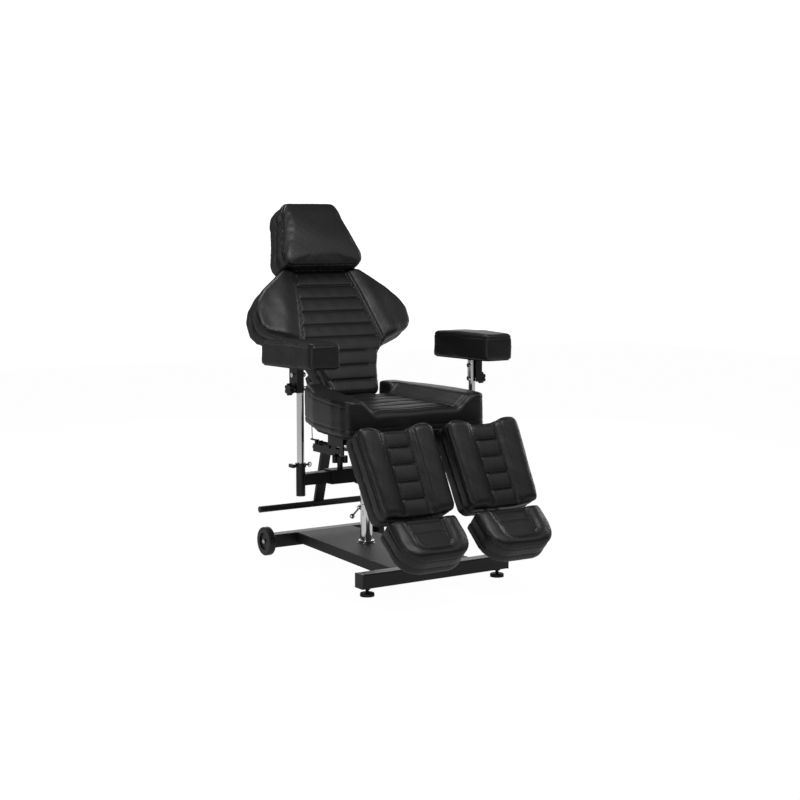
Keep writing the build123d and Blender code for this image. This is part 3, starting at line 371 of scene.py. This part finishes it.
def dents(points, height, seed):
    """The wide, soft unevenness of foam under leather: four crossing sine waves, the longest the highest."""
    rng = np.random.default_rng(seed)
    wave = np.zeros(len(points))
    for length in (170.0, 120.0, 84.0, 60.0):
        way = rng.normal(size=3)
        way /= np.linalg.norm(way)
        wave += np.sin(points @ way * math.tau / length + rng.uniform(0.0, math.tau)) * length / 110.0
    return height * wave


# Materials

finishes = {}


def group(name, inputs, outputs, fill):
    """A node group with named inputs and outputs, built once; fill adds its nodes."""
    tree = bpy.data.node_groups.get(name)
    if tree:
        return tree
    tree = bpy.data.node_groups.new(name, "ShaderNodeTree")
    for label, default in inputs:
        socket = tree.interface.new_socket(name=label, in_out="INPUT", socket_type="NodeSocketFloat")
        socket.default_value = default
    for label in outputs:
        tree.interface.new_socket(name=label, in_out="OUTPUT", socket_type="NodeSocketFloat")
    fill(tree, tree.nodes.new("NodeGroupInput"), tree.nodes.new("NodeGroupOutput"))
    return tree


def math_node(tree, operation, *values):
    node = tree.nodes.new("ShaderNodeMath")
    node.operation = operation
    for socket, value in zip(node.inputs, values):
        if isinstance(value, (int, float)):
            socket.default_value = value
        else:
            tree.links.new(value, socket)
    return node.outputs[0]


def noise_node(tree, detail):
    node = tree.nodes.new("ShaderNodeTexNoise")
    node.inputs["Detail"].default_value = detail
    return node


def fill_leather(tree, given, out):
    """Fine pebble cells with a wide, soft unevenness."""
    coords = tree.nodes.new("ShaderNodeTexCoord")
    cells = tree.nodes.new("ShaderNodeTexVoronoi")
    cells.feature = "DISTANCE_TO_EDGE"
    wide = noise_node(tree, 4.0)
    wide.inputs["Scale"].default_value = 9.0
    fine = noise_node(tree, 3.0)
    fine.inputs["Scale"].default_value = 60.0
    for node in (cells, wide, fine):
        tree.links.new(coords.outputs["Object"], node.inputs["Vector"])
    tree.links.new(given.outputs["Grain Scale"], cells.inputs["Scale"])
    pebble = math_node(tree, "MULTIPLY", cells.outputs["Distance"], given.outputs["Grain Height"])
    soft = math_node(tree, "MULTIPLY", wide.outputs["Fac"], given.outputs["Unevenness"])
    tree.links.new(math_node(tree, "ADD", pebble, soft), out.inputs["Height"])
    worn = math_node(tree, "MULTIPLY", fine.outputs["Fac"], 0.10)
    tree.links.new(math_node(tree, "ADD", worn, given.outputs["Gloss"]), out.inputs["Roughness"])


def leather_group():
    return group("leather_surface", (("Grain Scale", 900.0), ("Grain Height", 0.35), ("Unevenness", 1.0),
                                     ("Gloss", 0.33)), ("Height", "Roughness"), fill_leather)


def fill_coat(tree, given, out):
    """The orange peel of a powder coat."""
    coords = tree.nodes.new("ShaderNodeTexCoord")
    peel = noise_node(tree, 2.0)
    tree.links.new(coords.outputs["Object"], peel.inputs["Vector"])
    tree.links.new(given.outputs["Scale"], peel.inputs["Scale"])
    tree.links.new(peel.outputs["Fac"], out.inputs["Height"])
    spread = math_node(tree, "MULTIPLY", peel.outputs["Fac"], 0.12)
    tree.links.new(math_node(tree, "ADD", spread, given.outputs["Roughness"]), out.inputs["Roughness"])


def coat_group():
    return group("coat_surface", (("Scale", 700.0), ("Roughness", 0.35)), ("Height", "Roughness"),
                 fill_coat)


def new_material(name, color, metallic=0.0, roughness=0.4):
    """One material for each finish; its shader comes with it only when it is new."""
    if name in finishes:
        return finishes[name], None
    material = bpy.data.materials.new("finish_" + name)
    finishes[name] = material
    material.use_nodes = True
    shader = material.node_tree.nodes["Principled BSDF"]
    shader.inputs["Base Color"].default_value = (*color, 1.0)
    shader.inputs["Metallic"].default_value = metallic
    shader.inputs["Roughness"].default_value = roughness
    material.diffuse_color = (*color, 1.0)
    return material, shader


def surface(material, shader, tree_group, strength, distance, values):
    """Feeds a shader from a surface group through a bump."""
    tree = material.node_tree
    node = tree.nodes.new("ShaderNodeGroup")
    node.node_tree = tree_group
    for key, value in values.items():
        node.inputs[key].default_value = value
    bump = tree.nodes.new("ShaderNodeBump")
    bump.inputs["Strength"].default_value = strength
    bump.inputs["Distance"].default_value = distance
    tree.links.new(node.outputs["Height"], bump.inputs["Height"])
    tree.links.new(bump.outputs["Normal"], shader.inputs["Normal"])
    tree.links.new(node.outputs["Roughness"], shader.inputs["Roughness"])


def leather(settings):
    material, shader = new_material("black_leather", settings.leather_color)
    if shader:
        surface(material, shader, leather_group(), 0.16, 0.0004, {"Gloss": settings.leather_gloss})
    return material


def painted(name, color, roughness):
    material, shader = new_material(name, color)
    if shader:
        surface(material, shader, coat_group(), 0.15, 0.0002, {"Roughness": roughness})
    return material


def metal(name, color, roughness):
    return new_material(name, color, metallic=1.0, roughness=roughness)[0]


# Broad form of each cushion, on points in millimetres

def on_plane(numbers, points):
    """A leaning plane, the points in it, and their distance from the middle, height and depth.

    Height and depth are views of the points, so they follow each change made to them."""
    plane = Lean(*numbers)
    q = plane.local(points)
    return plane, q, np.abs(q[:, 0]), q[:, 1], q[:, 2]


def panel_half(v):
    """Half width of the backrest's panel at each height."""
    return np.interp(v, BACK_PANEL[::-1, 1], BACK_PANEL[::-1, 0])


def form_back(points):
    """Wings that stand out beside a flatter panel, with a narrow slope between."""
    plane, q, u, v, w = on_plane(BACK_PLANE, points)
    front = ramp(w, -36.0, -14.0)
    out = u - panel_half(v)
    wing = ramp(out, 0.0, 12.0) * ramp(v, -100.0, -50.0)
    swell = np.exp(-((out - WING_CREST) / 48.0) ** 2) * ramp(v, -60.0, 40.0)
    q[:, 2] += front * (wing * (2.0 + 12.0 * swell) - 4.0 * (1.0 - wing) * ramp(v, -240.0, -180.0))
    q[:, 0] *= 1.0 + 0.022 * ramp(u, 60.0, 160.0)
    return plane.world(q)


def form_head(points):
    """A slightly fuller pad, wider at its top, whose face bulges a little and leans back."""
    plane, q, u, v, w = on_plane(HEAD_PLANE, points)
    across = 1.0 - np.clip((u / 165.0) ** 2, 0.0, 1.0)
    bulge = across * (1.0 - np.clip(((v - 80.0) / 140.0) ** 2, 0.0, 1.0))
    lean = HEAD_LEAN * np.clip(v / HEAD_TOP, 0.0, 1.0)
    q[:, 2] = w + HEAD_BULGE * ramp(w, -30.0, -6.0) * bulge - lean
    top = np.clip((v - 150.0) / 64.0, 0.0, 1.0)
    q[:, 0] *= 1.055 + 0.025 * ramp(-w, 40.0, 80.0) + 0.32 * top
    q[:, 1] = HEAD_MIDDLE + (v - HEAD_MIDDLE) * 1.07
    return plane.world(q)


def form_calf(points):
    """Two long rolls with sloping inner sides, a sunk panel between them and a dipping upper rim."""
    plane, q, u, v, w = on_plane(CALF_PLANE, points)
    inner = np.interp(v, (CALF_BOTTOM, CALF_TOP), (40.0, 36.0))
    outer = np.interp(v, (CALF_BOTTOM, CALF_TOP), (311.0, 324.0))
    rim = np.minimum(np.minimum(u - inner, outer - u), np.minimum(CALF_TOP - v, v - CALF_BOTTOM))
    side = np.abs(u - CALF_MIDDLE)
    roll = ramp(side, 44.0, 70.0)
    crest = np.exp(-((side - 98.0) / 26.0) ** 2)
    target = -14.0 + 13.0 * roll + 5.0 * crest - shoulder(rim, RIM_RADIUS)
    skin = ramp(w, -30.0, -18.0) * ramp(rim, 1.0, 7.0)
    upper = ramp(v, -90.0, CALF_TOP)
    lower = ramp(-v, 240.0, 300.0)
    dip = (14.0 * upper + 4.0 * lower) * (1.0 - ramp(side, 30.0, 105.0))
    q[:, 2] = w + skin * (target - w)
    q[:, 0] *= (CALF_MIDDLE + (u - CALF_MIDDLE) * 1.045) / u
    q[:, 1] = v + 4.0 * upper - dip
    return plane.world(q)


def foot_field(side, v):
    """Distance outside the U-shaped field; below 0 inside it."""
    half = np.interp(v, (-90.0, 0.0), (60.0, 70.0))
    low = np.hypot(np.maximum(side - 32.0, 0.0), np.maximum(-v - 92.0, 0.0)) - 29.0
    return np.where(v < -92.0, low, side - half)


def form_foot(points):
    """A horseshoe roll round a sunk field, and a full lower side."""
    plane, q, u, v, w = on_plane(FOOT_PLANE, points)
    side = np.abs(u - FOOT_MIDDLE)
    corner = np.hypot(np.maximum(side - (FOOT_HALF - FOOT_CORNER), 0.0),
                      np.maximum(FOOT_BOTTOM + FOOT_CORNER - v, 0.0))
    rim = np.minimum(np.minimum(FOOT_HALF - side, v - FOOT_BOTTOM), np.minimum(FOOT_CORNER - corner, -v))
    field = foot_field(side, v)
    crest = np.exp(-((field - 30.0) / 17.0) ** 2)
    target = -9.0 + 8.0 * ramp(field, -2.0, 16.0) + 6.0 * crest - shoulder(rim, RIM_RADIUS)
    skin = ramp(w, -30.0, -18.0) * ramp(rim, 1.0, 7.0)
    q[:, 2] = w + skin * (target - w)
    q[:, 0] *= (FOOT_MIDDLE - 1.0 + (u - FOOT_MIDDLE) * 0.99) / u
    return plane.world(q)


def seat_profile(y):
    """Along the seat: half width of the panel, inner side of the rolls' tops, and the heights of both."""
    ends = (SEAT_FRONT, SEAT_PANEL_REAR)
    return (np.interp(y, ends, (168.0, 108.0)), np.interp(y, ends, (232.0, 166.0)),
            np.interp(y, ends, (602.0, 626.0)), np.interp(y, (SEAT_FRONT, SEAT_REAR), (645.0, 665.0)))


def form_seat(points):
    """A flat centre panel between two side rolls whose inner sides slope down to it."""
    x, y, z = np.abs(points[:, 0]), points[:, 1], points[:, 2]
    low, high, panel, crest = seat_profile(y)
    roll = ramp(x, low, high)
    target = panel + (crest - panel) * roll - shoulder(y - SEAT_FRONT, SEAT_EDGE)
    own = (x < high + 6.0) & (y < SEAT_PANEL_REAR + 2.0)
    skin = ramp(z, panel - 26.0, panel - 14.0) * own
    result = points.copy()
    result[:, 2] = z + skin * (target - z)
    return result


def form_arm(points):
    """A pad whose top is stretched to its real height, and whose skin wraps round the board below it."""
    result = points.copy()
    z = points[:, 2]
    rise = 0.09 if points[:, 0].mean() > 0.0 else -0.02
    result[:, 2] = z + rise * np.maximum(z - ARM_BASE, 0.0) - 0.23 * np.maximum(ARM_BASE - z, 0.0)
    return result


# Seams of each cushion, on points in millimetres

def sculpt_back(points):
    """Seams either side of the slope between panel and wings, sewn channels, and seams round the rim."""
    plane, q, u, v, w = on_plane(BACK_PLANE, points)
    front = ramp(w, -34.0, -16.0)
    flat = np.stack([u, v], 1)
    inside = np.where(v < PANEL_FOOT, 1.0, ramp(panel_half(v) - u, -1.0, 8.0))
    within = ramp(92.0 + 72.0 * ramp(v, -60.0, 20.0) - u, 0.0, 8.0)
    channel = valley(nearest(v, BACK_CHANNELS), 3.0) * within
    lift = inside * (QUILT_HEIGHT * quilt(v, BACK_CHANNELS) - 2.0 - 3.0 * channel)
    outer = BACK_PANEL + np.array([SLOPE_WIDTH, 0.0])
    lift -= 3.6 * valley(reach(flat, BACK_PANEL), 2.8) + 2.8 * valley(reach(flat, outer), 2.6)
    q[:, 2] += front * lift
    band = valley(w + 50.0, 3.0) * 3.5 + valley(w + 50.0, 11.0) * 2.5 + valley(w + 16.0, 3.0) * 1.6
    return plane.world(q), band


def sculpt_head(points):
    """A smooth front with a piped seam just behind its rim and a seam between the two layers."""
    w = on_plane(HEAD_PLANE, points)[4]
    rim = valley(w + 17.0, 3.2) * 4.6 - valley(w + 9.0, 3.5) * 1.3
    band = valley(w + 55.0, 2.8) * 3.4 + valley(w + 55.0, 10.0) * 2.4
    return points, rim + band


def leg_band(w, rim, low_depth, wide_depth):
    """A piped seam behind the rim of a leg pad, and a lower seam, narrow in a wider dip."""
    piping = valley(w + rim, 3.0) * 3.4 - valley(w + rim - 8.0, 3.5) * 1.2
    return piping + valley(w + 60.0, 2.6) * low_depth + valley(w + 60.0, 9.0) * wide_depth


def sculpt_calf(points):
    """Seams either side of each slope, sewn channels across the panel and seams round the rim."""
    plane, q, u, v, w = on_plane(CALF_PLANE, points)
    side = np.abs(u - CALF_MIDDLE)
    inside = ramp(CALF_PANEL_HALF - side, 0.0, 8.0)
    channel = valley(nearest(v, CALF_CHANNELS), 3.0)
    lift = inside * (QUILT_HEIGHT * quilt(v, CALF_CHANNELS) - 2.0 - 3.0 * channel)
    lift -= 3.6 * valley(side - CALF_PANEL_HALF, 3.0) + 2.6 * valley(side - CALF_SLOPE_HALF, 3.0)
    q[:, 2] += ramp(w, -45.0, -30.0) * lift
    return plane.world(q), leg_band(w, 20.0, 2.4, 1.5)


def sculpt_foot(points):
    """The seam of the field, its cross channels and the seams round the rim."""
    plane, q, u, v, w = on_plane(FOOT_PLANE, points)
    field = foot_field(np.abs(u - FOOT_MIDDLE), v)
    channel = valley(nearest(v, FOOT_CHANNELS), 3.0)
    lift = -3.0 * valley(field, 3.0) - 2.6 * ramp(-field, 0.0, 8.0) * channel
    q[:, 2] += ramp(w, -45.0, -30.0) * lift
    return plane.world(q), leg_band(w, 22.0, 2.2, 1.4)


def sculpt_seat(points):
    """Flat cross channels, a seam round the panel and along the front, and one low round the sides."""
    x, y, z = np.abs(points[:, 0]), points[:, 1], points[:, 2]
    low, _, panel, crest = seat_profile(y)
    edge = SEAT_FRONT + SEAT_EDGE
    top = ramp(z, panel - 24.0, panel - 10.0)
    inside = ramp(low - x, 0.0, 8.0) * ramp(y, edge, edge + 8.0)
    channel = valley(nearest(y, SEAT_CHANNELS), 3.0)
    lift = inside * (3.0 * quilt(y, SEAT_CHANNELS) - 2.0 - 2.0 * channel)
    lift -= 3.4 * valley(x - low, 3.5) * (y > edge - 2.0)
    lift -= 3.0 * valley(y - edge, 3.5) * (x < 236.0)
    result = points.copy()
    result[:, 2] += top * lift
    band = valley(z - crest + 22.0, 3.0) * 1.6 * (x > 232.0) + valley(z - 548.0, 3.0) * 1.6
    return result, band


def sculpt_arm(points):
    """A seam round the pad just below its crown."""
    return points, valley(points[:, 2] - ARM_SEAM, 2.5) * 2.2


# Pieces

def finish_cushion(name, arrays, sculpt, body, nodes, material, seed):
    """Sculpts the skin, draws its band seams in along the normals and hands the piece to the frame."""
    points, loops, totals = arrays
    points, band = sculpt(points)
    normal = corner_normals((points, loops, totals))
    gather = wrinkles(points, 30.0 - 12.0 * np.clip(band, 0.0, 2.5), 1.2, 14.0, seed)
    points = points - normal * (band - gather - dents(points, 0.45, seed + 7))[:, None]
    obj = add_object(name, build_mesh(name, points, loops, totals))
    obj.data.materials.append(material)
    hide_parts(*nodes)
    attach(obj, body)


def tube(name, line, radius, sides=10):
    """A round tube along a line of points: rings of corners set square to the way at each point."""
    way = np.gradient(line, axis=0)
    way /= np.linalg.norm(way, axis=1, keepdims=True)
    hint = np.array([1.0, 0.05, 0.02])
    first = np.cross(way, hint)
    first /= np.linalg.norm(first, axis=1, keepdims=True)
    second = np.cross(way, first)
    angle = np.arange(sides) * math.tau / sides
    ring = first[:, None] * np.cos(angle)[None, :, None] + second[:, None] * np.sin(angle)[None, :, None]
    points = (line[:, None] + ring * radius).reshape(-1, 3)
    i, j = np.meshgrid(np.arange(len(line) - 1), np.arange(sides), indexing="ij")
    k = (j + 1) % sides
    quads = np.stack([i * sides + j, i * sides + k, (i + 1) * sides + k, (i + 1) * sides + j], -1)
    faces = quads.reshape(-1, 4)
    caps = np.concatenate([np.arange(sides)[::-1], (len(line) - 1) * sides + np.arange(sides)])
    loops = np.concatenate([faces.ravel(), caps]).astype(np.int32)
    totals = np.concatenate([np.full(len(faces), 4), [sides, sides]]).astype(np.int32)
    return build_mesh(name, points, loops, totals)


def bezier(points, count):
    """Points along the Bezier curve of the given control points: each weighted by its binomial share."""
    t = np.linspace(0.0, 1.0, count)
    last = len(points) - 1
    weights = np.stack([math.comb(last, i) * t ** i * (1.0 - t) ** (last - i) for i in range(last + 1)], 1)
    return weights @ points


# Settings

class ChairSettings(bpy.types.PropertyGroup):
    leather_color: bpy.props.FloatVectorProperty(
        name="Leather", description="Colour of the leather", subtype="COLOR", size=3,
        min=0.0, max=1.0, default=(0.0060, 0.0060, 0.0065))
    leather_gloss: bpy.props.FloatProperty(
        name="Leather roughness", description="Roughness of the leather at its smoothest",
        subtype="FACTOR", default=0.38)
    paint_color: bpy.props.FloatVectorProperty(
        name="Paint", description="Colour of the powder coat", subtype="COLOR", size=3,
        min=0.0, max=1.0, default=(0.008, 0.008, 0.009))
    voxel: bpy.props.FloatProperty(
        name="Skin spacing", description="Spacing of the corners on a cushion, in millimetres",
        default=6.0, min=4.0, max=12.0)
    pressure: bpy.props.FloatProperty(
        name="Air pressure", description="Pressure that swells the headrest", default=4.0, min=0.0)
    floor_color: bpy.props.FloatVectorProperty(
        name="Floor", description="Colour of the floor", subtype="COLOR", size=3,
        min=0.0, max=1.0, default=(0.40, 0.40, 0.40))
    light_power: bpy.props.FloatProperty(
        name="Light power", description="Power that the lamps take shares of", subtype="POWER", unit="POWER",
        default=105.0)


def cushion(settings, nodes, form, smooth=4, voxel=0.0, swell=0.0):
    """The soft skin over some solids; swell is the share of the air pressure that it takes."""
    pressure = settings.pressure * swell
    return softened(nodes, voxel or settings.voxel, pressure, 3.0, 0.5, smooth, form)


# Operators, one for each piece or group of like pieces

class CHAIR_OT_seat(bpy.types.Operator):
    """Builds the seat cushion with its two side rolls"""
    bl_idname = "chair.seat"
    bl_label = "Seat"

    def execute(self, context):
        settings = context.scene.chair_settings
        nodes = ("seat_cushion", "seat_bolster_left", "seat_bolster_right")
        finish_cushion("seat_pad", cushion(settings, nodes, form_seat), sculpt_seat, "lift", nodes,
                       leather(settings), 3)
        return {"FINISHED"}


class CHAIR_OT_back(bpy.types.Operator):
    """Builds the winged backrest"""
    bl_idname = "chair.back"
    bl_label = "Backrest"

    def execute(self, context):
        settings = context.scene.chair_settings
        nodes = ("backrest_cushion", "backrest_shell")
        finish_cushion("back_pad", cushion(settings, nodes, form_back), sculpt_back, "back", nodes,
                       leather(settings), 5)
        return {"FINISHED"}


class CHAIR_OT_head(bpy.types.Operator):
    """Builds the headrest"""
    bl_idname = "chair.head"
    bl_label = "Headrest"

    def execute(self, context):
        settings = context.scene.chair_settings
        nodes = ("headrest_cushion", "headrest_shell")
        finish_cushion("head_pad", cushion(settings, nodes, form_head, swell=1.0), sculpt_head, "head",
                       nodes, leather(settings), 7)
        return {"FINISHED"}


class CHAIR_OT_legs(bpy.types.Operator):
    """Builds the calf rests and the foot rests"""
    bl_idname = "chair.legs"
    bl_label = "Leg rests"

    def execute(self, context):
        settings = context.scene.chair_settings
        for part, form, sculpt, seed in (("calf", form_calf, sculpt_calf, 11),
                                         ("foot", form_foot, sculpt_foot, 13)):
            arrays = cushion(settings, (part + "_cushion_left",), form)
            for side, sign in SIDES:
                own = arrays if sign > 0 else flipped(arrays)
                finish_cushion(part + "_pad_" + side, own, sculpt, part + "_" + side,
                               (part + "_cushion_" + side,), leather(settings), seed)
        return {"FINISHED"}


class CHAIR_OT_arms(bpy.types.Operator):
    """Builds the armrest pads"""
    bl_idname = "chair.arms"
    bl_label = "Armrest pads"

    def execute(self, context):
        settings = context.scene.chair_settings
        for side, _ in SIDES:
            nodes = ("armrest_cushion_" + side,)
            finish_cushion("arm_pad_" + side, cushion(settings, nodes, form_arm, 7, 5.0), sculpt_arm,
                           "armrest_" + side, nodes, leather(settings), 17)
        return {"FINISHED"}


class CHAIR_OT_cable(bpy.types.Operator):
    """Builds the thin release cable between the handle on the back and the lock under the seat"""
    bl_idname = "chair.cable"
    bl_label = "Release cable"

    def execute(self, context):
        settings = context.scene.chair_settings
        obj = add_object("release_cable", tube("release_cable", bezier(CABLE_POINTS, 40), CABLE_RADIUS))
        obj.data.materials.append(painted("black_paint", settings.paint_color, PAINT_ROUGHNESS))
        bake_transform(obj)
        return {"FINISHED"}


class CHAIR_OT_finishes(bpy.types.Operator):
    """Gives the rigid parts their paint, chrome, zinc, plastic and rubber, with softened edges"""
    bl_idname = "chair.finishes"
    bl_label = "Finishes"

    def execute(self, context):
        settings = context.scene.chair_settings
        kinds = {"black_paint": painted("black_paint", settings.paint_color, PAINT_ROUGHNESS)}
        kinds.update({name: painted(name, *values) for name, values in COATS.items()})
        kinds.update({name: metal(name, *values) for name, values in METALS.items()})
        slots = {p["node"]: p["material_slot"] for p in frame["record"]["subparts"]}
        for name, obj in frame["nodes"].items():
            material = kinds.get(slots[name])
            if material is None:
                continue
            obj.data.materials.clear()
            obj.data.materials.append(material)
            bevel = obj.modifiers.new("Bevel", "BEVEL")
            bevel.width = EDGE_WIDTH
            bevel.segments = 2
            bevel.limit_method = "ANGLE"
            bevel.angle_limit = math.radians(EDGE_ANGLE)
            bevel.harden_normals = True
        return {"FINISHED"}


def lamp(name, place, power, size, size_y):
    """A rectangular lamp that faces the chair."""
    data = bpy.data.lights.new(name, "AREA")
    data.energy = power
    data.shape = "RECTANGLE"
    data.size = size
    data.size_y = size_y
    obj = add_object(name, data)
    obj.location = place
    obj.rotation_euler = (Vector(LAMP_TARGET) - Vector(place)).to_track_quat("-Z", "Y").to_euler()


def add_camera(scene):
    """The camera, looking along its turn about Z and its dip below the horizon."""
    data = bpy.data.cameras.new("camera")
    data.lens = CAMERA_LENS
    data.sensor_width = CAMERA_SENSOR
    camera = add_object("camera", data)
    camera.location = CAMERA_PLACE
    turn, dip = math.radians(CAMERA_TURN), math.radians(CAMERA_DIP)
    way = Vector((math.sin(turn) * math.cos(dip), math.cos(turn) * math.cos(dip), -math.sin(dip)))
    camera.rotation_euler = way.to_track_quat("-Z", "Y").to_euler()
    scene.camera = camera


def floor_material(color):
    """White for the camera with a trace of shadow; a matt floor for all other rays."""
    material, shader = new_material("stage_floor", color, roughness=0.8)
    if shader:
        tree = material.node_tree
        glow = tree.nodes.new("ShaderNodeEmission")
        glow.inputs["Color"].default_value = (1.0, 1.0, 1.0, 1.0)
        glow.inputs["Strength"].default_value = FLOOR_GLOW
        ray = tree.nodes.new("ShaderNodeLightPath")
        seen = math_node(tree, "MULTIPLY", ray.outputs["Is Camera Ray"], FLOOR_SEEN)
        mirrored = math_node(tree, "MULTIPLY", ray.outputs["Is Glossy Ray"], FLOOR_MIRRORED)
        mix = tree.nodes.new("ShaderNodeMixShader")
        tree.links.new(math_node(tree, "ADD", seen, mirrored), mix.inputs[0])
        tree.links.new(shader.outputs[0], mix.inputs[1])
        tree.links.new(glow.outputs[0], mix.inputs[2])
        tree.links.new(mix.outputs[0], tree.nodes["Material Output"].inputs["Surface"])
    return material


def surroundings(scene):
    """White for the camera, softer for what lights the chair and shows in it."""
    world = bpy.data.worlds.new("surroundings")
    scene.world = world
    world.use_nodes = True
    tree = world.node_tree
    tree.nodes.clear()
    out = tree.nodes.new("ShaderNodeOutputWorld")
    mix = tree.nodes.new("ShaderNodeMixShader")
    ray = tree.nodes.new("ShaderNodeLightPath")
    tree.links.new(ray.outputs["Is Camera Ray"], mix.inputs[0])
    for socket, strength in ((mix.inputs[1], WORLD_SOFT), (mix.inputs[2], WORLD_SEEN)):
        light = tree.nodes.new("ShaderNodeBackground")
        light.inputs["Color"].default_value = (1.0, 1.0, 1.0, 1.0)
        light.inputs["Strength"].default_value = strength
        tree.links.new(light.outputs[0], socket)
    tree.links.new(mix.outputs[0], out.inputs["Surface"])


class CHAIR_OT_stage(bpy.types.Operator):
    """Sets the pale floor, the soft lamps, the surroundings and the camera at the photograph's angle"""
    bl_idname = "chair.stage"
    bl_label = "Stage"

    def execute(self, context):
        settings = context.scene.chair_settings
        corners = np.array([[-1.0, -1.0, 0.0], [1.0, -1.0, 0.0], [1.0, 1.0, 0.0], [-1.0, 1.0, 0.0]])
        corners = corners * FLOOR_HALF + np.array([0.0, 0.0, FLOOR_DROP])
        floor = add_object("stage_floor", build_mesh("stage_floor", corners, np.arange(4, dtype=np.int32),
                                                     np.array([4], dtype=np.int32)))
        floor.data.materials.append(floor_material(settings.floor_color))
        for name, place, share, width, height in LAMPS:
            lamp(name, place, settings.light_power * share, width, height)
        surroundings(context.scene)
        add_camera(context.scene)
        context.scene.view_settings.view_transform = "Standard"
        return {"FINISHED"}


OPERATORS = (CHAIR_OT_seat, CHAIR_OT_back, CHAIR_OT_head, CHAIR_OT_legs, CHAIR_OT_arms, CHAIR_OT_cable,
             CHAIR_OT_finishes, CHAIR_OT_stage)


class CHAIR_PT_panel(bpy.types.Panel):
    bl_label = "Tattoo chair"
    bl_idname = "CHAIR_PT_panel"
    bl_space_type = "VIEW_3D"
    bl_region_type = "UI"
    bl_category = "Chair"

    def draw(self, context):
        settings = context.scene.chair_settings
        for name in ChairSettings.__annotations__:
            self.layout.prop(settings, name)
        for operator in OPERATORS:
            self.layout.operator(operator.bl_idname)


def register():
    bpy.utils.register_class(ChairSettings)
    bpy.types.Scene.chair_settings = bpy.props.PointerProperty(type=ChairSettings)
    for operator in OPERATORS:
        bpy.utils.register_class(operator)
    bpy.utils.register_class(CHAIR_PT_panel)


def unregister():
    bpy.utils.unregister_class(CHAIR_PT_panel)
    for operator in reversed(OPERATORS):
        bpy.utils.unregister_class(operator)
    del bpy.types.Scene.chair_settings
    bpy.utils.unregister_class(ChairSettings)


def main():
    register()
    for step in ("seat", "back", "head", "legs", "arms", "cable", "finishes", "stage"):
        if getattr(bpy.ops.chair, step)() != {"FINISHED"}:
            raise RuntimeError("chair." + step + " did not finish")


if __name__ == "__main__":
    main()
